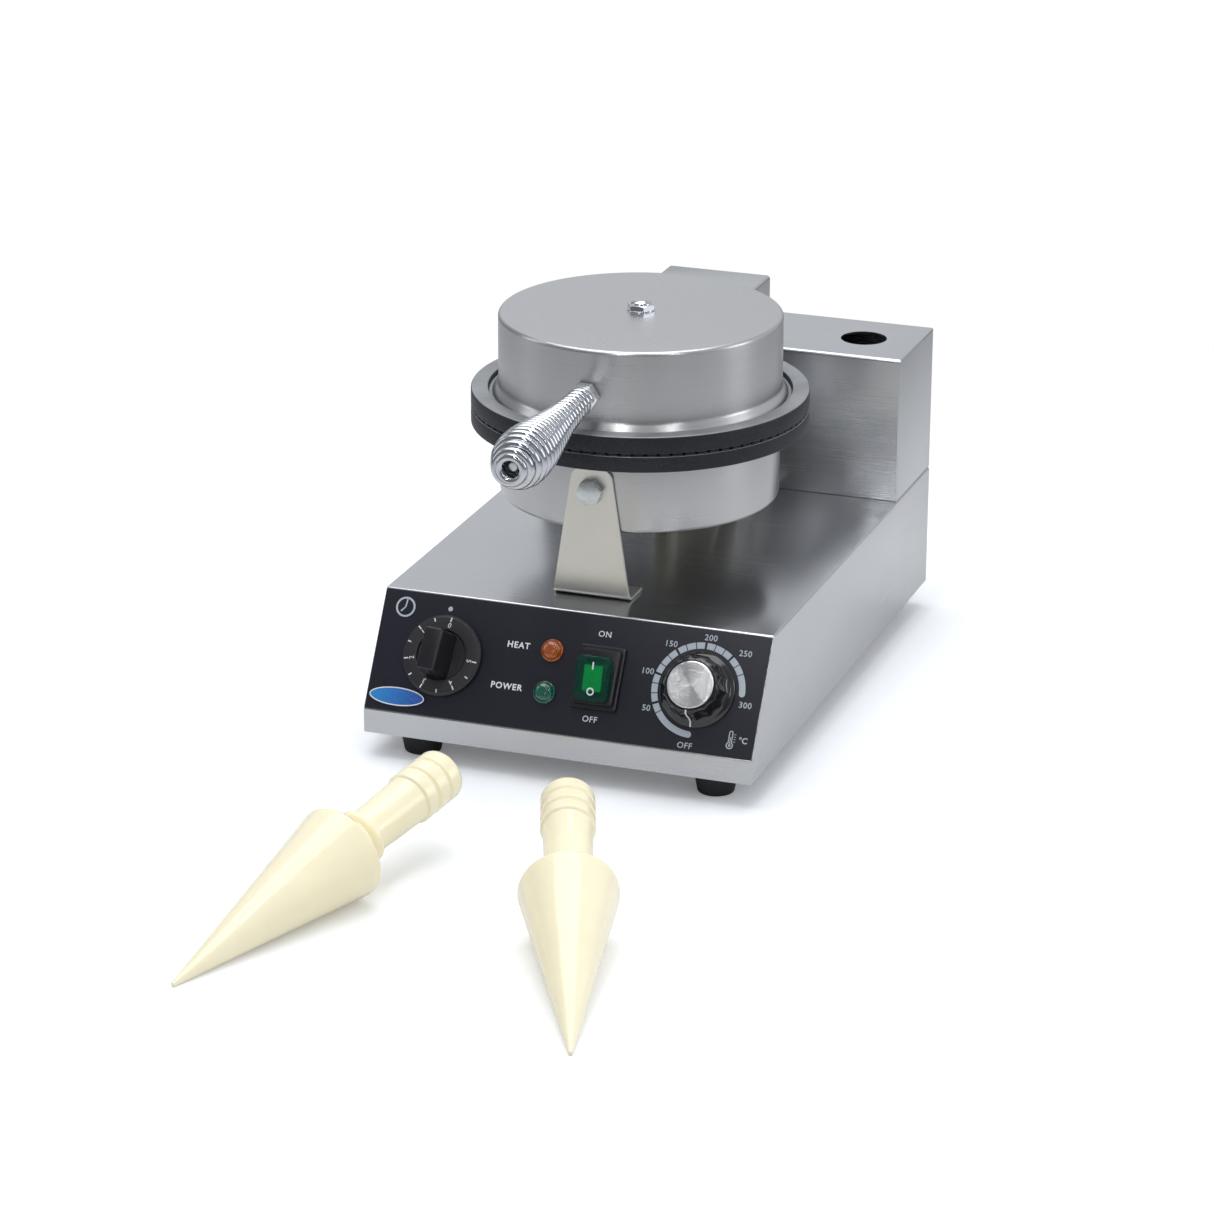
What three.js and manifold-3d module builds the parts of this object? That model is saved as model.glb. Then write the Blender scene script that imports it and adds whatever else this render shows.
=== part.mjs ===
// Waffle cone maker: a folded steel base with a slanted control panel, a round baking iron
// that opens on a rear hinge, a rear housing with holes for the cone formers, and two formers.
// Millimetres, +X right, +Y to the back, +Z up, with the counter at z = 0.

import * as THREE from 'three';
import { mergeVertices } from 'three/addons/utils/BufferGeometryUtils.js';
import Module from 'manifold-3d';

const wasm = await Module();
wasm.setup();

// ---- Driving dimensions -------------------------------------------------------------------

const GAP = 0.3;                     // between two pieces that rest on each other
const SHEET = 1.2;                   // thickness of the folded sheet steel
const BEND = 3;                      // outside radius of a fold

const BASE_WIDTH = 250;
const BASE_REAR = 340;               // the top's front edge is at y = 0
const BASE_BOTTOM = 16;
const BASE_TOP = 97;
const PANEL_REACH = 40;              // how far the slanted front runs out in front of the top
const PANEL_FOOT = 31;               // height at which the slant turns vertical

const HOUSING_FRONT = 262;
const HOUSING_REAR = 339;
const HOUSING_TOP = 193;
const HOLDER_RADIUS = 15;
const HOLDER_X = 88.5;
const HOLDER_Y = 301;

const IRON_Y = 112.5;                // axis of the round baking iron
const LEAD_OFFSET = 52.5;            // from that axis back to the leads' way into the drum
const DRUM_RADIUS = 87;
const DRUM_BOTTOM = 139.5;
const PLATE_RADIUS = 105;
const PLATE_BOTTOM = 184.5;
const PLATE_THICKNESS = 10;
const BAKING_GAP = 2;
const UPPER_PLATE_TOP = 207;
const RECESS_FLOOR = 204;            // the lid shell's foot stands in a recess of the upper plate
const RECESS_RADIUS = 93.5;
const LID_RADIUS = 88;
const LID_FOOT_RADIUS = 92;
const LID_TOP = 254.5;

const BRACKET_WIDTH = 50;
const BRACKET_TOP_WIDTH = 25;
const BRACKET_TOP = 180;
const BRACKET_SHEET = 2;
const BRACKET_FOOT = 23;
const BOLT_HEIGHT = 166;             // centre of the M8 bolts that carry the drum

const HANDLE_X = -4;
const HANDLE_HEIGHT = 226;
const HANDLE_LENGTH = 129.7;
const HANDLE_DROOP = 3.1;            // degrees below level
const WIRE_RADIUS = 2.5;
const WIRE_PITCH = 5.6;
const ROD_RADIUS = 3.2;

const PIN_Y = 248;                   // hinge pin, along X
const PIN_Z = 218;
const PIN_RADIUS = 4;
const PIN_CLEARANCE = 0.4;
const ARM_HALF = 20;
const EAR_INNER = 27;
const EAR_OUTER = 30;
const EAR_FLANGE = 42;               // outer edge of the feet turned out from the ears
const HOOD_HALF = 34.5;
const HOOD_TOP = 239;
const HOOD_BOTTOM = 208;
const HOOD_REAR = 267;

const FOOT_X = 95;
const FOOT_FRONT = -17;
const FOOT_REAR = 318;

const TIMER = { x: -79.8, drop: 38.7, radius: 25.2 };
const THERMOSTAT = { x: 84.2, drop: 38.7, radius: 23.2 };
const SWITCH = { x: 21.5, drop: 39.5, box: [22, 30], frame: [26.4, 35], flange: [29.4, 39.2] };
const HEAT_LAMP = { x: -10.8, drop: 26.5 };
const POWER_LAMP = { x: -11, drop: 52.5 };
const BADGE = { x: -104.2, drop: 67.2, width: 36, height: 11.6 };
const COVER = [21.8, 28];            // the soft cap over the rocker
const ROCKER_TILT = 12;              // degrees either side of level
const ROCKER_PIVOT = 2;              // height of the rocker's axis above the slant

const CORD_RADIUS = 4;
const CORD_X = 0;
const CORD_HEIGHT = 45;
const COIL = { x: -51.26, y: 394.65, radius: 38, shrink: 9, turns: 1.25 };

const FORMER_LENGTH = 245;
const CONE_LENGTH = 148.5;
const CONE_RADIUS = 28.7;
const CONE_TIP_RADIUS = 1.6;
const CONE_TIP_HEIGHT = 2;

const ORIGIN_Y = 26;                 // the origin is midway between the formers' tips and the plug

// ---- Finishes -----------------------------------------------------------------------------

const finish = (color, roughness, metalness) => () => {
  return new THREE.MeshStandardMaterial({ color, roughness, metalness });
};
const brushedSteel = finish(0xb4b7bb, 0.35, 1);
const satinSteel = finish(0x9fa0a3, 0.4, 1);
const warmSteel = finish(0xa9a49b, 0.38, 1);
const zinc = finish(0xc9cdd0, 0.3, 1);
const chrome = finish(0xdfe3e8, 0.1, 1);
const castIron = finish(0x35363c, 0.75, 0.4);
const aluminium = finish(0xd4d6d8, 0.25, 1);
const brass = finish(0xb08d4a, 0.35, 1);
const panelFoil = finish(0x26272f, 0.45, 0);
const blackPlastic = finish(0x141417, 0.4, 0);
const blackRubber = finish(0x101012, 0.8, 0);
const amberLens = finish(0xc8640f, 0.15, 0);
const greenLens = finish(0x0b7a5a, 0.15, 0);
const rockerGreen = finish(0x0a9a4e, 0.3, 0);
const coverGreen = finish(0x1d5a4c, 0.2, 0);
const badgeBlue = finish(0x2f62a8, 0.3, 0);
const ivoryPlastic = finish(0xf3ecc9, 0.2, 0);
const mineralWool = finish(0xd9d3c2, 0.95, 0);

// ---- Solids -------------------------------------------------------------------------------

function toManifold(geometry) {
  const bare = geometry.clone();
  bare.deleteAttribute('normal');
  bare.deleteAttribute('uv');
  const merged = mergeVertices(bare, 1e-4);
  const index = merged.index.array;
  const triangles = [];
  for (let i = 0; i < index.length; i += 3) {
    const [a, b, c] = [index[i], index[i + 1], index[i + 2]];
    if (a !== b && b !== c && c !== a) triangles.push(a, b, c);
  }
  return new wasm.Manifold(new wasm.Mesh({
    numProp: 3,
    vertProperties: new Float32Array(merged.attributes.position.array),
    triVerts: new Uint32Array(triangles),
  }));
}

function toGeometry(manifold) {
  const mesh = manifold.getMesh();
  const geometry = new THREE.BufferGeometry();
  geometry.setAttribute('position', new THREE.BufferAttribute(mesh.vertProperties, 3));
  geometry.setIndex(new THREE.BufferAttribute(mesh.triVerts, 1));
  geometry.computeVertexNormals();
  return geometry;
}

function cut(body, ...tools) {
  const cutters = tools.map(toManifold);
  return toGeometry(cutters.reduce((left, tool) => left.subtract(tool), toManifold(body)));
}

function join(...pieces) {
  return toGeometry(pieces.map(toManifold).reduce((sum, piece) => sum.add(piece)));
}

function block([x0, x1], [y0, y1], [z0, z1]) {
  const geometry = new THREE.BoxGeometry(x1 - x0, y1 - y0, z1 - z0);
  return geometry.translate((x0 + x1) / 2, (y0 + y1) / 2, (z0 + z1) / 2);
}

// A cylinder along +Z from z0 to z1, centred on (x, y).
function disc(radius, [z0, z1], segments = 24, x = 0, y = 0) {
  const geometry = new THREE.CylinderGeometry(radius, radius, z1 - z0, segments);
  return geometry.rotateX(Math.PI / 2).translate(x, y, (z0 + z1) / 2);
}

// A cylinder along +Y, centred on (x, z).
function barAlongY(radius, [y0, y1], segments, x, z) {
  const geometry = new THREE.CylinderGeometry(radius, radius, y1 - y0, segments);
  return geometry.translate(x, (y0 + y1) / 2, z);
}

// A cylinder along +X, centred on (y, z).
function barAlongX(radius, [x0, x1], segments, y, z) {
  const geometry = new THREE.CylinderGeometry(radius, radius, x1 - x0, segments);
  return geometry.rotateZ(Math.PI / 2).translate((x0 + x1) / 2, y, z);
}

// A prism with six flats, along +Z; acrossFlats is the spanner size.
function hexagon(acrossFlats, [z0, z1]) {
  return disc(acrossFlats / Math.sqrt(3), [z0, z1], 6);
}

// A solid of revolution about Z from [radius, z] pairs.
function turned(profile, segments) {
  const points = profile.map(([radius, z]) => new THREE.Vector2(radius, z));
  return new THREE.LatheGeometry(points, segments).rotateX(Math.PI / 2);
}

// A tube about Z with a square section.
function sleeve(outer, inner, [z0, z1], segments) {
  return turned([[inner, z0], [outer, z0], [outer, z1], [inner, z1], [inner, z0]], segments);
}

// An outline through the points with each corner rounded to the radius given after it.
function outline(corners, radius = 0) {
  const points = corners.map(([x, y]) => new THREE.Vector2(x, y));
  const shape = new THREE.Shape();
  points.forEach((corner, i) => {
    const before = points[(i + points.length - 1) % points.length];
    const after = points[(i + 1) % points.length];
    const reach = corners[i][2] ?? radius;
    const start = corner.clone().add(before.clone().sub(corner).setLength(reach));
    const end = corner.clone().add(after.clone().sub(corner).setLength(reach));
    if (i === 0) shape.moveTo(start.x, start.y);
    else shape.lineTo(start.x, start.y);
    if (reach > 0) shape.quadraticCurveTo(corner.x, corner.y, end.x, end.y);
  });
  shape.closePath();
  return shape;
}

function rectangle(width, height) {
  const [x, y] = [width / 2, height / 2];
  return [[-x, -y], [x, -y], [x, y], [-x, y]];
}

// The outline raised along +Z from z0 to z1.
function raised(shape, [z0, z1], curveSegments = 3) {
  const options = { depth: z1 - z0, bevelEnabled: false, curveSegments };
  return new THREE.ExtrudeGeometry(shape, options).translate(0, 0, z0);
}

// The outline, drawn in (y, z), run across the machine from x0 to x1.
function across(shape, [x0, x1], curveSegments = 3) {
  const turn = new THREE.Matrix4().makeBasis(
    new THREE.Vector3(0, 1, 0), new THREE.Vector3(0, 0, 1), new THREE.Vector3(1, 0, 0));
  return raised(shape, [x0, x1], curveSegments).applyMatrix4(turn);
}

// The corners of a convex outline, given counter-clockwise, moved inwards by a thickness.
function inset(corners, thickness) {
  const count = corners.length;
  const edges = corners.map(([x, y], i) => {
    const [nextX, nextY] = corners[(i + 1) % count];
    const run = new THREE.Vector2(nextX - x, nextY - y).normalize();
    const inward = new THREE.Vector2(-run.y, run.x);
    return { run, inward, offset: inward.x * x + inward.y * y + thickness };
  });
  return edges.map((edge, i) => {
    const previous = edges[(i + count - 1) % count];
    const scale = previous.inward.cross(edge.inward);
    return [
      (previous.offset * edge.inward.y - edge.offset * previous.inward.y) / scale,
      (edge.offset * previous.inward.x - previous.offset * edge.inward.x) / scale,
    ];
  });
}

// A curve whose steps are even in its own parameter.
class Path extends THREE.Curve {
  constructor(pointAt) {
    super();
    this.pointAt = pointAt;
  }

  getPoint(t, target = new THREE.Vector3()) {
    return target.copy(this.pointAt(t));
  }

  getUtoTmapping(u) {
    return u;
  }
}

// A round bar along a path; sides is even.
function wire(path, radius, steps, sides) {
  const section = new THREE.Shape();
  section.absarc(0, 0, radius, 0, 2 * Math.PI);
  return new THREE.ExtrudeGeometry(section, { extrudePath: path, steps, curveSegments: sides / 2 });
}

function addPart(parent, name, geometry, material) {
  const mesh = new THREE.Mesh(geometry, material());
  mesh.name = name;
  parent.add(mesh);
  return mesh;
}

function addGroup(parent, x = 0, y = 0, z = 0) {
  const group = new THREE.Group();
  group.position.set(x, y, z);
  parent.add(group);
  return group;
}

// ---- Base ---------------------------------------------------------------------------------

const panelAngle = Math.atan2(BASE_TOP - PANEL_FOOT, PANEL_REACH);

// Turns a shape drawn on the slanted front (x, y up the slope, z out of it) to its place.
function ontoPanel(geometry) {
  return geometry.rotateX(panelAngle).translate(0, 0, BASE_TOP);
}

function panelCutters() {
  const depth = [-4, 4];
  const round = (item, radius) => disc(radius, depth, 20, item.x, -item.drop);
  const [boxWidth, boxHeight] = SWITCH.box;
  const boxHole = raised(outline(rectangle(boxWidth + 0.8, boxHeight + 0.8)), depth);
  return [
    round(TIMER, 6),
    round(THERMOSTAT, 6),
    round(HEAT_LAMP, 5),
    round(POWER_LAMP, 5),
    boxHole.translate(SWITCH.x, -SWITCH.drop, 0),
  ];
}

function baseSide() {
  return [
    [-PANEL_REACH, BASE_BOTTOM],
    [BASE_REAR, BASE_BOTTOM],
    [BASE_REAR, BASE_TOP],
    [0, BASE_TOP],
    [-PANEL_REACH, PANEL_FOOT],
  ];
}

function baseShell() {
  const half = BASE_WIDTH / 2;
  const side = baseSide().map(([y, z]) => (z > BASE_BOTTOM ? [y, z, BEND] : [y, z]));
  const hollow = inset(baseSide(), SHEET).map(([y, z]) => [y, z < BASE_BOTTOM + 2 * SHEET ? 10 : z]);
  return cut(
    across(outline(side), [-half, half]),
    across(outline(hollow), [-half + SHEET, half - SHEET]),
    ...panelCutters().map(ontoPanel),
    disc(7.4, [BASE_TOP - 5, BASE_TOP + 5], 20, 0, IRON_Y + LEAD_OFFSET),
    barAlongY(8, [BASE_REAR - 5, BASE_REAR + 5], 20, CORD_X, CORD_HEIGHT),
  );
}

function bottomPlate() {
  const half = BASE_WIDTH / 2 - SHEET - GAP;
  const depth = [-PANEL_REACH + SHEET + GAP, BASE_REAR - SHEET - GAP];
  const holes = footPlaces().map(([, x, y]) => disc(2.9, [10, 25], 12, x, y));
  return cut(block([-half, half], depth, [BASE_BOTTOM + 0.2, BASE_BOTTOM + 1.4]), ...holes);
}

function footPlaces() {
  return [
    ['front_left', -FOOT_X, FOOT_FRONT],
    ['front_right', FOOT_X, FOOT_FRONT],
    ['rear_left', -FOOT_X, FOOT_REAR],
    ['rear_right', FOOT_X, FOOT_REAR],
  ];
}

// A tapered rubber foot, bored from below for its screw.
function foot() {
  const top = BASE_BOTTOM - 0.1;
  return turned([
    [5.5, 0], [10.2, 0], [10.8, 0.6], [14.2, top], [2.9, top], [2.9, 8.3], [5.5, 8.3], [5.5, 0],
  ], 16);
}

function footScrew() {
  return turned([[0, 5.2], [4, 5.2], [4.6, 6], [4.6, 8], [2.5, 8], [2.5, 24], [0, 24]], 12);
}

function addBase(parent) {
  addPart(parent, 'base_shell', baseShell(), brushedSteel);
  addPart(parent, 'bottom_plate', bottomPlate(), brushedSteel);
  for (const [place, x, y] of footPlaces()) {
    const group = addGroup(parent, x, y);
    addPart(group, `foot_${place}`, foot(), blackRubber);
    addPart(group, `foot_screw_${place}`, footScrew(), zinc);
  }
  const strip = join(
    block([-30, 30], [190, 212], [BASE_BOTTOM + 1.8, BASE_BOTTOM + 12]),
    block([-30, 30], [196, 206], [BASE_BOTTOM + 11, BASE_BOTTOM + 19]),
  );
  addPart(parent, 'terminal_block', strip, mineralWool);
}

// ---- Rear housing -------------------------------------------------------------------------

function rearHousing() {
  const half = BASE_WIDTH / 2;
  const side = [
    [HOUSING_FRONT, BASE_TOP + GAP],
    [HOUSING_REAR, BASE_TOP + GAP],
    [HOUSING_REAR, HOUSING_TOP],
    [HOUSING_FRONT, HOUSING_TOP, BEND],
  ];
  const inner = [HOUSING_FRONT + SHEET, HOUSING_REAR + 5];
  const holes = [-1, 1].map((way) => {
    return disc(HOLDER_RADIUS, [HOUSING_TOP - 5, HOUSING_TOP + 5], 32, way * HOLDER_X, HOLDER_Y);
  });
  return cut(
    across(outline(side), [-half, half]),
    block([-half + SHEET, half - SHEET], inner, [BASE_TOP - 5, HOUSING_TOP - SHEET]),
    ...holes,
  );
}

function addHousing(parent) {
  const half = BASE_WIDTH / 2 - SHEET - GAP;
  const depth = [HOUSING_REAR - 2 * SHEET, HOUSING_REAR - SHEET];
  const height = [BASE_TOP + 2 * GAP, HOUSING_TOP - SHEET - GAP];
  addPart(parent, 'rear_housing', rearHousing(), brushedSteel);
  addPart(parent, 'rear_cover', block([-half, half], depth, height), brushedSteel);
}

// ---- Lower half of the iron ---------------------------------------------------------------

// Bracket and bolt are drawn in front of the iron's axis; the rear pair is turned half round.
function bracket() {
  const [bottom, face] = [BASE_TOP + GAP, -DRUM_RADIUS - GAP];
  const [wide, narrow] = [BRACKET_WIDTH / 2, BRACKET_TOP_WIDTH / 2];
  const plate = outline([
    [-wide, bottom], [wide, bottom], [narrow, BRACKET_TOP, 5], [-narrow, BRACKET_TOP, 5],
  ]);
  const upright = raised(plate, [-BRACKET_SHEET, 0]).rotateX(Math.PI / 2);
  upright.translate(0, face - BRACKET_SHEET, 0);
  const ledge = [face - BRACKET_SHEET, face - BRACKET_SHEET + BRACKET_FOOT];
  return cut(
    join(upright, block([-wide, wide], ledge, [bottom, bottom + BRACKET_SHEET])),
    barAlongY(4.4, [-100, -70], 20, 0, BOLT_HEIGHT),
  );
}

// An M8 bolt, 13 mm across flats, pointing at the iron's axis.
function bracketBolt() {
  const seat = DRUM_RADIUS + BRACKET_SHEET + 2 * GAP;
  const bolt = join(hexagon(13, [seat, seat + 5.3]), disc(4, [seat - 13, seat + 1], 16));
  return bolt.rotateX(Math.PI / 2).translate(0, 0, BOLT_HEIGHT);
}

function lowerDrum() {
  const [outer, inner] = [DRUM_RADIUS, DRUM_RADIUS - SHEET];
  const top = PLATE_BOTTOM - GAP;
  const pot = turned([
    [0, DRUM_BOTTOM], [outer - 2, DRUM_BOTTOM], [outer, DRUM_BOTTOM + 2], [outer, top],
    [inner, top], [inner, DRUM_BOTTOM + 2.4], [inner - 1.2, DRUM_BOTTOM + SHEET],
    [0, DRUM_BOTTOM + SHEET],
  ], 40);
  return cut(
    pot,
    barAlongY(4.4, [-100, -70], 16, 0, BOLT_HEIGHT),
    barAlongY(4.4, [70, 100], 16, 0, BOLT_HEIGHT),
    disc(7.4, [DRUM_BOTTOM - 5, DRUM_BOTTOM + 5], 20, 0, LEAD_OFFSET),
  );
}

function bakingPlate(bottom, top) {
  const edge = 0.8;
  return [
    [0, bottom], [PLATE_RADIUS - edge, bottom], [PLATE_RADIUS, bottom + edge],
    [PLATE_RADIUS, top - edge], [PLATE_RADIUS - edge, top],
  ];
}

// A tubular element bent to a ring with a gap where its two ends stand.
function heater(height) {
  const radius = 60;
  const sweep = THREE.MathUtils.degToRad(325);
  const ring = new Path((t) => {
    const angle = Math.PI / 2 + (t - 0.5) * sweep - Math.PI;
    return new THREE.Vector3(radius * Math.cos(angle), radius * Math.sin(angle), height);
  });
  return wire(ring, 4, 28, 6);
}

function addLowerIron(parent) {
  const iron = addGroup(parent, 0, IRON_Y);
  const plateTop = PLATE_BOTTOM + PLATE_THICKNESS;
  addPart(iron, 'lower_drum', lowerDrum(), satinSteel);
  addPart(iron, 'lower_plate', turned([...bakingPlate(PLATE_BOTTOM, plateTop), [0, plateTop]], 48),
    castIron);
  addPart(iron, 'lower_heater', heater(PLATE_BOTTOM - 4.3), satinSteel);
  addPart(iron, 'lower_insulation', disc(72, [146, 175], 28), mineralWool);
  const leads = addGroup(iron, 0, LEAD_OFFSET);
  addPart(leads, 'lower_lead_sleeve', sleeve(7, 5, [92, 145], 16), mineralWool);
  addPart(iron, 'front_bracket', bracket(), warmSteel);
  addPart(iron, 'front_bracket_bolt', bracketBolt(), zinc);
  addPart(iron, 'rear_bracket', bracket().rotateZ(Math.PI), warmSteel);
  addPart(iron, 'rear_bracket_bolt', bracketBolt().rotateZ(Math.PI), zinc);
}

// ---- Lid ----------------------------------------------------------------------------------

function lidShell() {
  const foot = RECESS_FLOOR + GAP;
  const [outer, inner] = [LID_RADIUS, LID_RADIUS - SHEET];
  const ceiling = LID_TOP - SHEET;
  const shell = turned([
    [0, ceiling], [inner - 2, ceiling], [inner, ceiling - 2], [inner, foot + 5.4],
    [inner + 1, foot + 2.4], [LID_FOOT_RADIUS - SHEET, foot], [LID_FOOT_RADIUS, foot],
    [outer + 1, foot + 2.9], [outer, foot + 6], [outer, LID_TOP - 3], [outer - 0.9, LID_TOP - 0.9],
    [outer - 3, LID_TOP], [0, LID_TOP],
  ], 40);
  return cut(
    shell,
    disc(4.4, [LID_TOP - 5, LID_TOP + 5], 16),
    barAlongY(ROD_RADIUS + 0.5, [-100, -70], 16, HANDLE_X, HANDLE_HEIGHT),
  );
}

function capNut() {
  const seat = LID_TOP + GAP;
  const dome = turned([
    [0, seat + 5], [7.8, seat + 5], [7.6, seat + 7], [6, seat + 9.2], [3.2, seat + 10.6],
    [0, seat + 11],
  ], 20);
  return cut(join(hexagon(17, [seat, seat + 6]), dome), disc(4.4, [seat - 2, seat + 4.5], 16));
}

// Outer radius of the wire grip: slim at the lid, full near the hand's heel, drawn in at the end.
function gripRadius(t) {
  const points = [[0, 8.6], [0.3, 10.6], [0.6, 15.4], [0.8, 18], [0.92, 16.4], [1, 11.6]];
  const curve = new THREE.SplineCurve(points.map(([, radius], i) => new THREE.Vector2(i, radius)));
  const next = points.findIndex(([place]) => place >= t && place > 0);
  const [low, high] = [points[next - 1][0], points[next][0]];
  const place = next - 1 + (t - low) / (high - low);
  return curve.getPoint(place / (points.length - 1)).y;
}

function gripCoil([z0, z1]) {
  const turns = (z1 - z0 - 2 * WIRE_RADIUS) / WIRE_PITCH;
  const helix = new Path((t) => {
    const angle = 2 * Math.PI * turns * t;
    const radius = gripRadius(t) - WIRE_RADIUS;
    const z = THREE.MathUtils.lerp(z0 + WIRE_RADIUS, z1 - WIRE_RADIUS, t);
    return new THREE.Vector3(radius * Math.cos(angle), radius * Math.sin(angle), z);
  });
  return wire(helix, WIRE_RADIUS, Math.round(turns * 11), 4);
}

function addHandle(lid) {
  const handle = addGroup(lid, HANDLE_X, -LID_RADIUS, HANDLE_HEIGHT);
  handle.rotation.x = THREE.MathUtils.degToRad(90 + HANDLE_DROOP);
  const nut = cut(hexagon(16, [0.8, 6.8]), disc(ROD_RADIUS + GAP, [0, 8], 16));
  addPart(handle, 'handle_rod', disc(ROD_RADIUS, [-12, 124], 16), zinc);
  addPart(handle, 'handle_nut', nut, chrome);
  addPart(handle, 'handle_coil', gripCoil([7.2, HANDLE_LENGTH]), chrome);
}

function addLid(parent) {
  const lid = addGroup(parent, 0, IRON_Y);
  const plate = [
    ...bakingPlate(PLATE_BOTTOM + PLATE_THICKNESS + BAKING_GAP, UPPER_PLATE_TOP),
    [RECESS_RADIUS + 0.5, UPPER_PLATE_TOP], [RECESS_RADIUS, RECESS_FLOOR], [0, RECESS_FLOOR],
  ];
  addPart(lid, 'upper_plate', turned(plate, 48), castIron);
  addPart(lid, 'lid_shell', lidShell(), satinSteel);
  addPart(lid, 'upper_heater', heater(RECESS_FLOOR + 4.3), satinSteel);
  addPart(lid, 'upper_insulation', sleeve(72, 6.5, [213, 243], 28), mineralWool);
  addPart(lid, 'lid_stud', disc(4, [RECESS_FLOOR + GAP, LID_TOP + 4.2], 16), zinc);
  addPart(lid, 'lid_cap_nut', capNut(), chrome);
  addHandle(lid);
}

// ---- Hinge --------------------------------------------------------------------------------

function hingeBracket() {
  const foot = BASE_TOP + GAP;
  const ear = outline([
    [222, foot], [260, foot], [260, PIN_Z + 10, 8], [238, PIN_Z + 10, 8], [222, 192],
  ]);
  const bore = barAlongX(PIN_RADIUS + PIN_CLEARANCE, [-40, 40], 20, PIN_Y, PIN_Z);
  const sides = [-1, 1].flatMap((way) => {
    const wall = way < 0 ? [-EAR_OUTER, -EAR_INNER] : [EAR_INNER, EAR_OUTER];
    const flange = way < 0 ? [-EAR_FLANGE, -EAR_INNER] : [EAR_INNER, EAR_FLANGE];
    return [across(ear, wall), block(flange, [226, 256], [foot, foot + 2])];
  });
  return cut(join(block([-EAR_OUTER, EAR_OUTER], [222, 224], [foot, 190]), ...sides), bore);
}

function hingePin() {
  return join(
    barAlongX(PIN_RADIUS, [-32, 32], 20, PIN_Y, PIN_Z),
    barAlongX(6, [EAR_OUTER + GAP, EAR_OUTER + 2.6], 20, PIN_Y, PIN_Z),
  );
}

function hingeArm() {
  const strap = outline([
    [206.5, UPPER_PLATE_TOP + GAP], [236, UPPER_PLATE_TOP + GAP], [250, 212], [250, 225],
    [236, 223, 5], [224, 213, 4], [206.5, 213],
  ]);
  return cut(
    join(
      across(strap, [-ARM_HALF, ARM_HALF]),
      barAlongX(9, [-ARM_HALF, ARM_HALF], 24, PIN_Y, PIN_Z),
    ),
    barAlongX(PIN_RADIUS + PIN_CLEARANCE, [-40, 40], 20, PIN_Y, PIN_Z),
  );
}

function hingeSpring(way) {
  const helix = new Path((t) => {
    const angle = 4 * Math.PI * t;
    const [y, z] = [PIN_Y + 6.3 * Math.cos(angle), PIN_Z + 6.3 * Math.sin(angle)];
    return new THREE.Vector3(way * THREE.MathUtils.lerp(21.8, 25.8, t), y, z);
  });
  return wire(helix, 0.9, 20, 4);
}

// An inverted channel from the lid shell back over the pin, open at the rear and below.
function hingeCover() {
  const wall = HOOD_HALF - SHEET;
  const roof = outline([
    [-HOOD_HALF, HOOD_BOTTOM], [HOOD_HALF, HOOD_BOTTOM],
    [HOOD_HALF, HOOD_TOP, 2], [-HOOD_HALF, HOOD_TOP, 2],
  ]);
  const hood = raised(roof, [-HOOD_REAR, -IRON_Y - 60]).rotateX(Math.PI / 2);
  return cut(
    hood,
    block([-wall, wall], [100, 300], [HOOD_BOTTOM - 5, HOOD_TOP - SHEET]),
    disc(LID_RADIUS + GAP, [200, 260], 96, 0, IRON_Y),
    disc(LID_FOOT_RADIUS + GAP, [200, 211], 96, 0, IRON_Y),
  );
}

function addHinge(parent) {
  addPart(parent, 'hinge_bracket', hingeBracket(), warmSteel);
  addPart(parent, 'hinge_pin', hingePin(), zinc);
  addPart(parent, 'hinge_arm', hingeArm(), castIron);
  addPart(parent, 'hinge_spring_left', hingeSpring(-1), zinc);
  addPart(parent, 'hinge_spring_right', hingeSpring(1), zinc);
  addPart(parent, 'hinge_cover', hingeCover(), brushedSteel);
}

// ---- Controls on the slanted front --------------------------------------------------------

const SHAFT_RADIUS = 3;
const SEAT = 1.6;                    // underside of the dials, above the overlay
const GRIP_TOP = 27;                 // top of the timer's finger bar

function shaft() {
  return disc(SHAFT_RADIUS, [-20, 13.4], 16);
}

function shaftBore(z0, z1) {
  return disc(SHAFT_RADIUS + 0.35, [z0, z1], 16);
}

function timerDial() {
  const skirt = turned([
    [0, SEAT], [TIMER.radius, SEAT], [TIMER.radius, SEAT + 2], [TIMER.radius - 1.6, SEAT + 3.6],
    [0, SEAT + 3.6],
  ], 40);
  const grip = raised(outline(rectangle(13, 27), 2), [SEAT + 2, GRIP_TOP]);
  return cut(join(skirt, grip.rotateZ(-0.06)), shaftBore(0, 14));
}

function thermostatKnob() {
  const flutes = 14;
  const ridges = Array.from({ length: 2 * flutes }, (_, i) => {
    const angle = Math.PI * i / flutes;
    const radius = i % 2 ? 18.9 : 17.9;
    return [radius * Math.cos(angle), radius * Math.sin(angle)];
  });
  const skirt = turned([
    [0, SEAT], [THERMOSTAT.radius, SEAT], [THERMOSTAT.radius, SEAT + 1.4],
    [THERMOSTAT.radius - 2, SEAT + 2.6], [0, SEAT + 2.6],
  ], 40);
  return cut(
    join(skirt, raised(outline(ridges), [SEAT + 2, 18.6])),
    disc(14.8, [17.2, 20], 32),
    shaftBore(0, 14),
  );
}

function knobCap() {
  return turned([[0, 17.5], [14.5, 17.5], [14.5, 18.8], [14, 19.3], [0, 19.3]], 32);
}

function lampLens() {
  return turned([
    [0, -6], [4.5, -6], [4.5, 1.1], [7, 1.1], [7, 2.6], [6.1, 4.2], [3.6, 5.6], [0, 6.1],
  ], 24);
}

function lampBody() {
  return cut(disc(6.5, [-24, -SHEET - 0.4], 20), disc(4.9, [-7, 2], 20));
}

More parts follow.
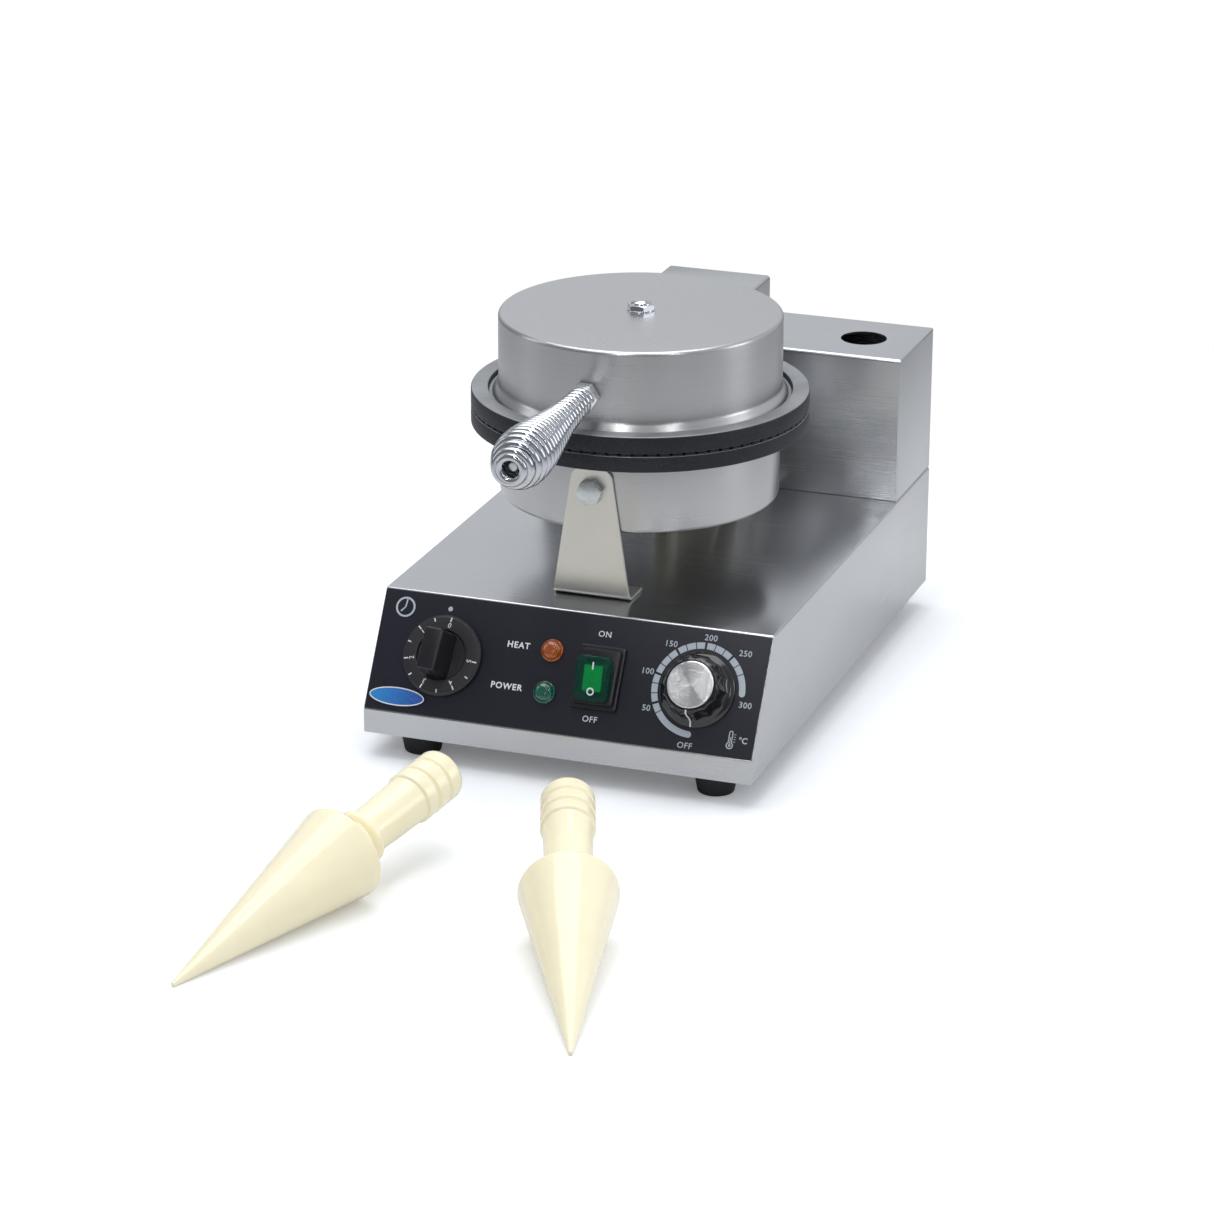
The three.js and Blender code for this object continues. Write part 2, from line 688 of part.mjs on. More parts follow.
function switchBezel() {
  const flange = raised(outline(rectangle(...SWITCH.flange), 2), [1.1, 3.8]);
  const frame = raised(outline(rectangle(...SWITCH.frame), 3), [3.6, 7]);
  const box = raised(outline(rectangle(...SWITCH.box)), [-24, 2]);
  return cut(join(flange, frame, box), raised(outline(rectangle(14, 21.6)), [-6, 9]));
}

// The rocker and its soft cap are drawn level about the pivot; the upper end stands out.
function rocked(geometry) {
  return geometry.rotateX(THREE.MathUtils.degToRad(ROCKER_TILT)).translate(0, 0, ROCKER_PIVOT);
}

function switchRocker() {
  return rocked(raised(outline(rectangle(12.6, 17.5), 1), [-5, 12]));
}

function switchCover() {
  const [width, length] = COVER;
  const wall = 1.3;
  const hollow = outline(rectangle(width - 2 * wall, length - 2 * wall), 3.4);
  return rocked(cut(
    raised(outline(rectangle(width, length), 4.5), [8.3, 13.3]), raised(hollow, [7, 12.3]),
  ));
}

function badge() {
  const steps = 36;
  const oval = Array.from({ length: steps }, (_, i) => {
    const angle = 2 * Math.PI * i / steps;
    return [BADGE.width / 2 * Math.cos(angle), BADGE.height / 2 * Math.sin(angle)];
  });
  return raised(outline(oval), [1.1, 1.9]);
}

function addPanel(parent) {
  const panel = addGroup(parent, 0, 0, BASE_TOP);
  panel.rotation.x = panelAngle;
  const at = (item) => addGroup(panel, item.x, -item.drop);
  const foil = block([-124, 124], [-76, -1.5], [GAP, 0.8]);
  addPart(panel, 'control_panel', cut(foil, ...panelCutters()), panelFoil);
  addPart(at(BADGE), 'badge', badge(), badgeBlue);

  const timer = at(TIMER);
  const timerBox = cut(block([-23, 23], [-20, 20], [-30, -SHEET - 0.4]), shaftBore(-21, 2));
  addPart(timer, 'timer_dial', timerDial(), blackPlastic);
  addPart(timer, 'timer_shaft', shaft(), zinc);
  addPart(timer, 'timer_body', timerBox, zinc);

  const thermostat = at(THERMOSTAT);
  const thermostatCan = cut(disc(18, [-28, -SHEET - 0.4], 28), shaftBore(-21, 2));
  addPart(thermostat, 'thermostat_knob', thermostatKnob(), blackPlastic);
  addPart(thermostat, 'knob_cap', knobCap(), aluminium);
  addPart(thermostat, 'thermostat_shaft', shaft(), zinc);
  addPart(thermostat, 'thermostat_body', thermostatCan, zinc);

  const mainSwitch = at(SWITCH);
  addPart(mainSwitch, 'switch_bezel', switchBezel(), blackPlastic);
  addPart(mainSwitch, 'switch_rocker', switchRocker(), rockerGreen);
  addPart(mainSwitch, 'switch_cover', switchCover(), coverGreen);

  addPart(at(HEAT_LAMP), 'heat_lamp_lens', lampLens(), amberLens);
  addPart(at(HEAT_LAMP), 'heat_lamp_body', lampBody(), blackPlastic);
  addPart(at(POWER_LAMP), 'power_lamp_lens', lampLens(), greenLens);
  addPart(at(POWER_LAMP), 'power_lamp_body', lampBody(), blackPlastic);
}

// The thin sensing tube from the thermostat to the leads' way up into the drum.
function capillary() {
  const route = new THREE.CatmullRomCurve3([
    new THREE.Vector3(THERMOSTAT.x, 5.5, 49),
    new THREE.Vector3(80, 40, 50),
    new THREE.Vector3(40, 120, 50),
    new THREE.Vector3(8, 155, 62),
    new THREE.Vector3(0, IRON_Y + LEAD_OFFSET, 90),
  ]);
  return wire(route, 1, 18, 4);
}

// ---- Mains cord ---------------------------------------------------------------------------

function cordGland() {
  const wall = BASE_REAR;
  const ring = turned([
    [4.9, -10], [10, -10], [10, -SHEET - GAP], [7.6, -SHEET - GAP], [7.6, GAP], [11, GAP], [11, 6],
    [9, 8], [7, 15], [4.9, 15], [4.9, -10],
  ], 20);
  return ring.rotateX(-Math.PI / 2).translate(CORD_X, wall, CORD_HEIGHT);
}

// Out of the gland, down to the counter, round one and a quarter turns, and up to the plug.
function cordRoute() {
  const floor = CORD_RADIUS + 0.8;
  const points = [
    [CORD_X, 322, CORD_HEIGHT], [CORD_X, 340, CORD_HEIGHT], [CORD_X, 356, CORD_HEIGHT],
    [CORD_X - 2, 370, 40], [CORD_X - 5, 380, 26], [CORD_X - 9, 387, 10],
  ];
  const perTurn = 14;
  const count = Math.floor(COIL.turns * perTurn);
  for (let i = 0; i <= count; i += 1) {
    const turn = i / perTurn;
    const radius = COIL.radius - COIL.shrink * turn;
    const angle = 2 * Math.PI * turn;
    const lift = 10 * THREE.MathUtils.smoothstep(turn, 0.9, COIL.turns);
    points.push([
      COIL.x + radius * Math.cos(angle), COIL.y + radius * Math.sin(angle), floor + lift,
    ]);
  }
  const row = COIL.y + COIL.radius - COIL.shrink * COIL.turns;
  points.push([COIL.x - 14, row, 17], [COIL.x - 24, row, 19], [COIL.x - 33.5, row, 19]);
  return new THREE.CatmullRomCurve3(points.map((point) => new THREE.Vector3(...point)));
}

// A round two-pin plug lying on its side, its pins pointing to -X.
function powerPlug() {
  const shell = turned([
    [0, 0], [6, 0], [8, 12], [15, 18], [18.6, 21], [18.6, 33], [17.6, 34], [0, 34],
  ], 28);
  const pins = [-9.5, 9.5].map((x) => disc(2.4, [33, 53], 12, x, 0));
  const row = COIL.y + COIL.radius - COIL.shrink * COIL.turns;
  return join(shell, ...pins).rotateY(-Math.PI / 2).translate(COIL.x - 34, row, 19);
}

function addWiring(parent) {
  addPart(parent, 'thermostat_capillary', capillary(), brass);
  addPart(parent, 'cord_gland', cordGland(), blackPlastic);
  addPart(parent, 'power_cord', wire(cordRoute(), CORD_RADIUS, 64, 6), blackRubber);
  addPart(parent, 'power_plug', powerPlug(), blackRubber);
}

// ---- Cone formers -------------------------------------------------------------------------

const coneSlope = Math.atan2(CONE_RADIUS - CONE_TIP_RADIUS, CONE_LENGTH - CONE_TIP_HEIGHT);
const apexToTip = CONE_TIP_RADIUS / Math.tan(coneSlope) - CONE_TIP_HEIGHT;

function former() {
  const rings = [212.5, 223.5].flatMap((z) => [
    [14.9, z], [15.9, z + 1], [15.6, z + 9.6], [14.9, z + 10.4],
  ]);
  return turned([
    [0, 0], [1, 0.5], [CONE_TIP_RADIUS, CONE_TIP_HEIGHT], [CONE_RADIUS, CONE_LENGTH],
    [CONE_RADIUS - 0.6, CONE_LENGTH + 2], [CONE_RADIUS - 3, CONE_LENGTH + 3.4],
    [12.6, CONE_LENGTH + 5], [12.6, 155], [14.2, 158.5], [13.6, 162.4], [16.2, 163.4],
    [16.2, 167.6], [13.8, 168.6], [14.7, 206], ...rings,
    [14.9, 234.5], [15.9, 235.5], [15.6, 243], [14, FORMER_LENGTH], [0, FORMER_LENGTH],
  ], 20);
}

// A former lies on the side of its cone, its handle clear of the counter.
function addFormer(parent, name, tipX, tipY, heading) {
  const turn = THREE.MathUtils.degToRad(heading);
  const level = Math.cos(coneSlope);
  const axis = new THREE.Vector3(
    Math.sin(turn) * level, Math.cos(turn) * level, Math.sin(coneSlope));
  const place = addGroup(parent, tipX, tipY, apexToTip * Math.sin(coneSlope) + 0.02);
  place.quaternion.setFromUnitVectors(new THREE.Vector3(0, 0, 1), axis);
  addPart(place, name, former(), ivoryPlastic);
}

// ---- The machine --------------------------------------------------------------------------

const machine = new THREE.Group();
const model = addGroup(machine, 0, -ORIGIN_Y, 0);
addBase(model);
addHousing(model);
addLowerIron(model);
addLid(model);
addHinge(model);
addPanel(model);
addWiring(model);
addFormer(model, 'cone_former_left', -94.75, -383.4, 16);
addFormer(model, 'cone_former_right', 137.45, -388, -20.5);

export default machine;
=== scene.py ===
"""Waffle cone maker: the finished surfaces, materials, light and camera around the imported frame.

Lengths are millimetres in the row frame until a mesh is made; Blender's own unit is the metre.
"""

import math

import bmesh
import bpy
from mathutils import Matrix, Vector


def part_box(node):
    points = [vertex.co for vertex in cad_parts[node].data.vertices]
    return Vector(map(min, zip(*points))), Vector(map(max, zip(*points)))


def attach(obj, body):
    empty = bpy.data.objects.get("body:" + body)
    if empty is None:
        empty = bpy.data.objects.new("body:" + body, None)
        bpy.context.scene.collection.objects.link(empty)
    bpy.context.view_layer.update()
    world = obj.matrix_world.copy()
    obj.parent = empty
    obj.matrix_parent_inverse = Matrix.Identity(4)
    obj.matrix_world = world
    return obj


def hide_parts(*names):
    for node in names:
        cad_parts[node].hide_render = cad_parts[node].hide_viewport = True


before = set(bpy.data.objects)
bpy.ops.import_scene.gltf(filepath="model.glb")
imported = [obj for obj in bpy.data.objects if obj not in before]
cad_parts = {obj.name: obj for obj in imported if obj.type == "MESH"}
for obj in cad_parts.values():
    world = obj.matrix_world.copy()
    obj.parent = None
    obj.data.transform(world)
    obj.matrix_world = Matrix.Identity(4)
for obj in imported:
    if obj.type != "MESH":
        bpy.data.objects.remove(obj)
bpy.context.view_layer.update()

MM = 0.001
TURN = 2 * math.pi


class Extent:
    """Where a CAD node is, in millimetres."""

    def __init__(self, node):
        low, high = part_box(node)
        self.low = low / MM
        self.high = high / MM
        self.mid = (self.low + self.high) / 2
        self.size = self.high - self.low


# ---- Driving dimensions, from the frame ----

BASE = Extent("base_shell")
HOUSING = Extent("rear_housing")
DRUM = Extent("lower_drum")
LOWER_PLATE = Extent("lower_plate")
UPPER_PLATE = Extent("upper_plate")
LID = Extent("lid_shell")
BRACKET = Extent("front_bracket")
HINGE = Extent("hinge_bracket")
PIN = Extent("hinge_pin")
ARM = Extent("hinge_arm")
HOOD = Extent("hinge_cover")
GLAND = Extent("cord_gland")
PLUG = Extent("power_plug")

IRON_Y = LOWER_PLATE.mid.y
PLATE_RADIUS = LOWER_PLATE.size.x / 2
LID_RADIUS = 88.0
FLANGE_RADIUS = 92.0
SHEET = 1.2
BEND = 2.0
FOLD_EDGE = 1.3                      # rounding along the sides of a folded sheet
OVERCUT = 5.0                        # how far a cutter runs out of what it cuts
SLANT_RUN = 40.0
LIP_HEIGHT = 15.0
PANEL_TOP_Y = BASE.low.y + SLANT_RUN
SLANT_DROP = BASE.size.z - LIP_HEIGHT
HOLDER_RADIUS = 15.0
HOLDER_X = 88.5
HOLDER_Y = HOUSING.low.y + 39.0
HINGE_Y = PIN.mid.y
HINGE_Z = PIN.mid.z

TIMER = Vector((-79.8, -38.7))       # on the panel: across from its middle, then up from its top fold
THERMOSTAT = Vector((84.2, -38.7))
SWITCH = Vector((21.5, -39.5))
HEAT_LAMP = Vector((-10.8, -26.5))
POWER_LAMP = Vector((-11.0, -52.5))
BADGE = Vector((-104.2, -67.2))
FOIL_TOP = 0.8

CORNERS = ("front_left", "front_right", "rear_left", "rear_right")
SQUARE = ((-1, -1), (1, -1), (1, 1), (-1, 1))


# ---- Outlines ----

def soften(corners, radius=0.0, steps=5, closed=True):
    """The outline with its corners turned to arcs; a corner may carry its own radius."""
    out = []
    count = len(corners)
    for i, corner in enumerate(corners):
        reach = corner[2] if len(corner) > 2 else radius
        point = Vector(corner[:2])
        if reach <= 0 or (not closed and i in (0, count - 1)):
            out.append(point)
            continue
        back = Vector(corners[i - 1][:2]) - point
        ahead = Vector(corners[(i + 1) % count][:2]) - point
        half = back.angle(ahead) / 2
        reach = min(reach / math.tan(half), 0.49 * back.length, 0.49 * ahead.length)
        start = point + back.normalized() * reach
        end = point + ahead.normalized() * reach
        for step in range(steps + 1):
            t = step / steps
            a, b, c = (1 - t) ** 2, 2 * math.sin(half) * t * (1 - t), t * t
            out.append((start * a + point * b + end * c) / (a + b + c))
    return out


def shrink(outline, inset):
    """A counter-clockwise outline moved inwards."""
    out = []
    count = len(outline)
    for i, point in enumerate(outline):
        a = (point - outline[i - 1]).normalized()
        b = (outline[(i + 1) % count] - point).normalized()
        inward = Vector((-(a.y + b.y), a.x + b.x)).normalized()
        cosine = max(0.3, inward.dot(Vector((-a.y, a.x))))
        out.append(point + inward * (inset / cosine))
    return out


def angles(count):
    """Equal steps round a turn."""
    return [TURN * i / count for i in range(count)]


def spoke(radius, angle, z):
    return Vector((radius * math.cos(angle), radius * math.sin(angle), z))


def rectangle(width, height, radius=0.0, steps=5):
    return soften([(x * width / 2, y * height / 2) for x, y in SQUARE], radius, steps)


def ellipse(width, height, count=64):
    return [Vector((width / 2 * math.cos(a), height / 2 * math.sin(a))) for a in angles(count)]


def circle(radius, count=48):
    return ellipse(2 * radius, 2 * radius, count)


def polar(radius, degrees_clockwise):
    """A point at an angle clockwise from straight up."""
    return spoke(radius, math.radians(90 - degrees_clockwise), 0).to_2d()


def arc_band(radius, width, start, end, step=4):
    """A band between two angles clockwise from straight up, as a closed outline."""
    count = max(2, int(abs(end - start) / step) + 1)
    turns = [start + (end - start) * i / count for i in range(count + 1)]
    outer = [polar(radius + width / 2, turn) for turn in turns]
    inner = [polar(radius - width / 2, turn) for turn in reversed(turns)]
    return list(reversed(outer + inner))


# ---- Solids ----

class Solid:
    """Vertices and faces of one piece, gathered from closed parts."""

    def __init__(self):
        self.bm = bmesh.new()

    def loft(self, rings, capped=True, matrix=None):
        """Skins a row of equal closed rings."""
        rows = [[self.bm.verts.new(matrix @ p if matrix else p) for p in ring] for ring in rings]
        count = len(rows[0])
        for low, high in zip(rows, rows[1:]):
            for j in range(count):
                k = (j + 1) % count
                self.bm.faces.new((low[j], low[k], high[k], high[j]))
        if capped:
            self.bm.faces.new(list(reversed(rows[0])))
            self.bm.faces.new(rows[-1])
        return self

    def turn(self, corners, segments=64, matrix=None, steps=5, closed=False):
        """A solid of revolution about Z, through (radius, height, rounding) corners.

        Its profile starts and ends on the axis, or else closes on itself.
        """
        profile = soften(corners, steps=steps, closed=closed)
        if closed:
            profile.append(profile[0])
        rings = [[spoke(r, a, z) for a in angles(segments)] for r, z in profile]
        return self.loft(rings, capped=False, matrix=matrix)

    def stack(self, levels, matrix=None):
        """A loft through (outline, inset, height) levels."""
        rings = [[Vector((p.x, p.y, z)) for p in (shrink(outline, inset) if inset else outline)]
                 for outline, inset, z in levels]
        return self.loft(rings, matrix=matrix)

    def slab(self, outline, low, high, edge=0.0, steps=3, matrix=None):
        """An outline raised from low to high with rounded edges."""
        if edge > 0:
            bends = [math.pi / 2 * step / steps for step in range(steps + 1)]
            pulls = [(1 - math.sin(a), 1 - math.cos(a)) for a in bends]
            levels = [(outline, edge * x, low + edge * z) for x, z in pulls]
            levels += [(outline, edge * x, high - edge * z) for x, z in reversed(pulls)]
            return self.stack(levels, matrix)
        return self.stack([(outline, 0, low), (outline, 0, high)], matrix)

    def tube(self, path, radius, sides=12, matrix=None):
        """A round bar along a row of points."""
        rings = []
        side = (path[1] - path[0]).normalized().orthogonal().normalized()
        for i, point in enumerate(path):
            tangent = (path[min(i + 1, len(path) - 1)] - path[max(i - 1, 0)]).normalized()
            side = (side - tangent * side.dot(tangent)).normalized()
            up = tangent.cross(side)
            rings.append([point + radius * (side * math.cos(a) + up * math.sin(a))
                          for a in angles(sides)])
        return self.loft(rings, matrix=matrix)

    def merge(self, mesh, matrix):
        """Adds a mesh that is already in millimetres."""
        before = len(self.bm.verts)
        self.bm.from_mesh(mesh)
        self.bm.verts.ensure_lookup_table()
        bmesh.ops.transform(self.bm, matrix=matrix, verts=self.bm.verts[before:])

    def mesh(self, name):
        bmesh.ops.remove_doubles(self.bm, verts=self.bm.verts, dist=1e-4)
        bmesh.ops.dissolve_degenerate(self.bm, edges=self.bm.edges, dist=1e-5)
        bmesh.ops.recalc_face_normals(self.bm, faces=self.bm.faces)
        bmesh.ops.scale(self.bm, vec=Vector((MM, MM, MM)), verts=self.bm.verts)
        mesh = bpy.data.meshes.new(name)
        self.bm.to_mesh(mesh)
        self.bm.free()
        return mesh


def linked(name, data):
    """A new object in the scene."""
    made = bpy.data.objects.new(name, data)
    bpy.context.scene.collection.objects.link(made)
    return made


def final_mesh(thing):
    """The mesh that an object's modifiers or text come to."""
    bpy.context.view_layer.update()
    evaluated = thing.evaluated_get(bpy.context.evaluated_depsgraph_get())
    return bpy.data.meshes.new_from_object(evaluated)


def carve(name, solid, cutters):
    """The solid's mesh with every cutter taken out of it; each must be one closed part."""
    body = linked(name + "_blank", solid.mesh(name + "_blank"))
    helpers = [body]
    for i, cutter in enumerate(cutters):
        tool = linked(f"{name}_tool{i}", cutter.mesh(f"{name}_tool{i}"))
        helpers.append(tool)
        modifier = body.modifiers.new("cut", "BOOLEAN")
        modifier.object = tool
        modifier.solver = "EXACT"
    mesh = final_mesh(body)
    for helper in helpers:
        bpy.data.objects.remove(helper)
    return mesh


def place(name, body, material, solid, node=None, placement=None, crease=32):
    """Turns a solid into a piece that rides on a body, and may stand for a CAD node."""
    mesh = solid if isinstance(solid, bpy.types.Mesh) else solid.mesh(name)
    mesh.materials.append(material)
    mesh.shade_smooth()
    mesh.set_sharp_from_angle(angle=math.radians(crease))
    piece = linked(name, mesh)
    if placement is not None:
        shift = placement.copy()
        shift.translation = placement.translation * MM
        piece.matrix_world = shift
    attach(piece, body)
    own_name = material.name.split(".")[0]
    if node:
        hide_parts(node)


def at(x, y, z):
    return Matrix.Translation((x, y, z))


def spun_by(angle):
    return Matrix.Rotation(angle, 4, "Z")


ACROSS = Matrix(((0, 0, 1, 0), (1, 0, 0, 0), (0, 1, 0, 0), (0, 0, 0, 1)))  # from (y, z), along X
ALONG_Y = Matrix.Rotation(math.pi / 2, 4, "X")   # Z of the drawing points to -Y
BACKWARD = ALONG_Y.inverted()                    # Z of the drawing points to +Y
ALONG_X = Matrix.Rotation(math.pi / 2, 4, "Y")   # Z of the drawing points to +X
IRON = at(0, IRON_Y, 0)
PANEL = at(0, PANEL_TOP_Y, BASE.high.z) @ Matrix.Rotation(math.atan2(SLANT_DROP, SLANT_RUN), 4, "X")


def on_panel(spot):
    return PANEL @ at(spot.x, spot.y, 0)


# ---- Materials ----


class Tree:
    """The node tree of a material or world, with shorthand for adding nodes."""

    def __init__(self, owner):
        owner.use_nodes = True
        self.tree = owner.node_tree

    def feed(self, socket, value):
        """Links a node's first output or a socket to an input, or sets the input's own value."""
        source = value.outputs[0] if isinstance(value, bpy.types.Node) else value
        if isinstance(source, bpy.types.NodeSocket):
            self.tree.links.new(source, socket)
        else:
            socket.default_value = source

    def add(self, kind, inputs=None, **settings):
        node = self.tree.nodes.new("ShaderNode" + kind)
        for key, value in settings.items():
            setattr(node, key, value)
        for key, value in (inputs or {}).items():
            self.feed(node.inputs[key], value)
        return node

    def math(self, operation, *values):
        return self.add("Math", dict(enumerate(values)), operation=operation)

    def vector(self, operation, *values):
        return self.add("VectorMath", dict(enumerate(values)), operation=operation)

    def band(self, value, low, high, from_low=0.3, from_high=0.7, **settings):
        """A value's range stretched to another."""
        return self.add("MapRange", {"Value": value, "From Min": from_low, "From Max": from_high,
                                     "To Min": low, "To Max": high}, **settings)

    def mix_shader(self, factor, first, second):
        return self.add("MixShader", {0: factor, 1: first, 2: second})

    def seen(self):
        return self.add("LightPath").outputs["Is Camera Ray"]


class Finish(Tree):
    """A material, its coordinates in metres and the patterns that the finishes share."""

    def __init__(self, name):
        self.material = bpy.data.materials.new(name)
        super().__init__(self.material)
        self.shader = self.tree.nodes["Principled BSDF"]
        coordinates = self.add("TexCoord")
        self.point = coordinates.outputs["Object"]
        self.facing = coordinates.outputs["Normal"]

    def set(self, **values):
        for key, value in values.items():
            self.feed(self.shader.inputs[key.replace("_", " ")], value)

    def surface(self, shader):
        self.feed(self.tree.nodes["Material Output"].inputs["Surface"], shader)

    def split(self, source, axis):
        return self.add("SeparateXYZ", {0: source}).outputs[axis]

    def stretched(self, scale, source=None):
        return self.add("Mapping", {"Vector": source or self.point, "Scale": scale})

    def noise(self, scale, detail=3.0, roughness=0.55, source=None):
        """Noise at one scale, or at one for each axis."""
        scale = (scale,) * 3 if isinstance(scale, float) else scale
        vector = self.stretched(scale, source)
        return self.add("TexNoise", {"Vector": vector, "Scale": 1.0, "Detail": detail,
                                     "Roughness": roughness})

    def wave(self, scale, direction, distortion=0.0, source=None):
        return self.add("TexWave", {"Vector": source or self.point, "Scale": scale,
                                    "Distortion": distortion},
                        wave_type="BANDS", bands_direction=direction).outputs["Fac"]

    def around(self, centre):
        """Coordinates that run round a vertical axis, then out from it, then up."""
        offset = self.vector("SUBTRACT", self.point, centre)
        x, y, z = self.add("SeparateXYZ", {0: offset}).outputs
        radius = self.math("SQRT", self.math("ADD", self.math("POWER", x, 2.0),
                                             self.math("POWER", y, 2.0)))
        return self.add("CombineXYZ", {0: self.math("ARCTAN2", y, x), 1: radius, 2: z}).outputs[0]

    def mix(self, factor, first, second):
        return self.add("Mix", {0: factor, 6: first, 7: second}, data_type="RGBA").outputs[2]

    def blend(self, factor, first, second):
        """As mix, for plain values."""
        return self.add("Mix", {0: factor, 2: first, 3: second})

    def vary(self, value, color, low, high=1.0, start=0.3, end=0.7):
        """A colour whose brightness goes from low to high as a value goes from start to end."""
        return self.mix(self.band(value, 0.0, 1.0, start, end), scaled(color, low),
                        scaled(color, high))

    def bump(self, height, strength, distance):
        return self.add("Bump", {"Height": height, "Strength": strength, "Distance": distance})

    def in_world(self, direction):
        return self.add("VectorTransform", {0: direction}, vector_type="VECTOR",
                        convert_from="OBJECT", convert_to="WORLD")

    def across(self, grain):
        """The direction across the grain in the surface, which a highlight is drawn out along."""
        normal = self.add("NewGeometry").outputs["Normal"]
        return self.vector("NORMALIZE", self.vector("CROSS_PRODUCT", normal, self.in_world(grain)))


def rgb(red, green, blue):
    return (red, green, blue, 1.0)


def scaled(color, factor):
    return tuple(channel * factor for channel in color[:3]) + (1.0,)


def metal_finish(n, color, roughness, lines, smudge, way, grain, anisotropy, relief=1.0):
    """Shared look of ground metal: fine lines in its tone and gloss, and a few dull patches."""
    tone = n.vary(lines, color, 1 - 0.07 * grain, 1 + 0.05 * grain)
    tone = n.mix(n.band(smudge, 0.0, 0.4), tone, scaled(color, 0.94))
    rough = n.math("ADD", n.band(lines, roughness - 0.03, roughness + 0.04),
                   n.band(smudge, -0.02, 0.03))
    n.set(Base_Color=tone, Metallic=1.0, Roughness=rough, Anisotropic=anisotropy,
          Tangent=n.across(way), Normal=n.bump(lines, 0.025 * grain * relief, 0.00008))
    return n.material


def brushed(name, color, roughness, grain=0.35, anisotropy=0.2):
    """Folded sheet: the grain runs along X, and along Y on the faces that look sideways."""
    n = Finish(name)
    side = n.math("GREATER_THAN", n.math("ABSOLUTE", n.split(n.facing, 0)), 0.7)
    lines = n.blend(side, n.noise((5.0, 2600.0, 2600.0)), n.noise((2600.0, 5.0, 2600.0)))
    way = n.add("CombineXYZ", {0: n.math("SUBTRACT", 1.0, side), 1: side})
    return metal_finish(n, color, roughness, lines, n.noise(14.0), way, grain, anisotropy)


def spun(name, color, roughness, y, grain, anisotropy=0.7, plain_top=True, relief=1.0):
    """Metal turned about a vertical axis: the grain runs round it, less so on a flat top."""
    n = Finish(name)
    centre = (0, y * MM, 0)
    lines = n.noise((1.0, 1300.0, 1300.0), 4.0, 0.6, n.around(centre))
    if plain_top:
        wall = n.band(n.split(n.facing, 2), 1.0, 0.0, 0.75, 0.95)
        lines = n.blend(wall, n.noise(900.0, 2.0), lines)
        anisotropy = n.math("MULTIPLY", wall, anisotropy)
    way = n.vector("CROSS_PRODUCT", (0, 0, 1), n.vector("SUBTRACT", n.point, centre))
    smudge = n.noise((16.0, 16.0, 30.0))
    return metal_finish(n, color, roughness, lines, smudge, way, grain, anisotropy, relief)


def plated(name, color, roughness, mottle=0.12):
    """Zinc or chrome plate: bright, with a faint cloudiness."""
    n = Finish(name)
    cloud = n.noise(420.0, 4.0)
    n.set(Base_Color=n.vary(cloud, color, 1 - mottle, 1 + mottle / 2), Metallic=1.0,
          Roughness=n.band(cloud, roughness * 0.8, roughness * 1.25),
          Normal=n.bump(cloud, 0.04, 0.0002))
    return n.material


def cast(name, side, face):
    """Sandblasted iron: nearly black on its sides, paler on the faces that look up or down."""
    n = Finish(name)
    grit = n.noise(1500.0, 4.0, 0.7)
    level = n.math("ABSOLUTE", n.split(n.facing, 2))
    tone = n.mix(n.band(level, 0.0, 1.0, 0.55, 0.85), side, face)
    tone = n.mix(n.band(grit, 0.0, 0.12), tone, face)
    tone = n.mix(n.band(n.noise((30.0, 30.0, 60.0)), 0.0, 0.3), tone, scaled(side, 0.8))
    n.set(Base_Color=tone, Metallic=0.85, Roughness=n.band(grit, 0.42, 0.6),
          Normal=n.bump(grit, 0.35, 0.0002))
    return n.material


def moulded(name, color, roughness, texture=0.15, grain=900.0, coat=0.0, variation=0.12):
    """Plastic or rubber with a fine moulded texture."""
    n = Finish(name)
    grit = n.noise(grain)
    tone = n.vary(grit, color, 1 - variation, 1 + variation)
    tone = n.mix(n.band(n.noise(45.0, 2.0), 0.0, 0.4), tone, scaled(color, 1 - variation))
    n.set(Base_Color=tone, Roughness=n.band(grit, roughness - 0.04, roughness + 0.06),
          Normal=n.bump(grit, texture, 0.00015), Coat_Weight=coat, Coat_Roughness=0.1)
    return n.material


def turned_plastic(name, color):
    """A dial's matt black face with fine rings about its own axis."""
    n = Finish(name)
    rings = n.noise((0.6, 1800.0, 1800.0), source=n.around((0, 0, 0)))
    n.set(Base_Color=n.vary(rings, color, 0.85, 1.25), Roughness=0.42,
          Normal=n.bump(rings, 0.2, 0.0001), Anisotropic=0.6,
          Tangent=n.in_world(n.vector("CROSS_PRODUCT", (0, 0, 1), n.point)))
    return n.material


def ribbed_lens(name, color, glow):
    """Coloured translucent lens with fine ribs inside, a soft inner glow, and painted shade that
    darkens it towards its edges as seen.
    """
    n = Finish(name)
    ribs = n.wave(320.0, "X", 0.4)
    facing = n.add("LayerWeight", {"Blend": 0.35}).outputs["Facing"]
    tone = n.vary(ribs, color, 0.75, 1.2, 0.2, 0.8)
    # painted shade: the colour darkens towards the dome's edges as the camera sees them
    tone = n.mix(n.band(facing, 0.0, 0.8, 0.2, 0.9), tone, scaled(color, 0.35))
    n.set(Base_Color=tone, Roughness=0.12, Transmission_Weight=0.25, IOR=1.5, Coat_Weight=1.0,
          Coat_Roughness=0.03, Emission_Color=color, Emission_Strength=glow,
          Normal=n.bump(ribs, 0.15, 0.0002))
    return n.material


def clear_cover(name, color, tint, share):
    """The soft see-through boot over the switch: a glossy skin that lets tinted light pass."""
    n = Finish(name)
    haze = n.noise(260.0, 2.0)
    n.set(Base_Color=n.vary(haze, color, 0.9, 1.1), Roughness=n.band(haze, 0.2, 0.3),
          Coat_Weight=0.6, Coat_Roughness=0.1)
    n.surface(n.mix_shader(share, n.add("BsdfTransparent", {"Color": tint}), n.shader))
    return n.material


def lit_window(name, color, glow):
    """The rocker's bright panel, lit from behind through a fine grating."""
    n = Finish(name)
    tone = n.vary(n.wave(260.0, "Y"), color, 0.9, 1.1, 0.2, 0.8)
    n.set(Base_Color=tone, Roughness=0.35, Emission_Color=tone, Emission_Strength=glow)
    return n.material


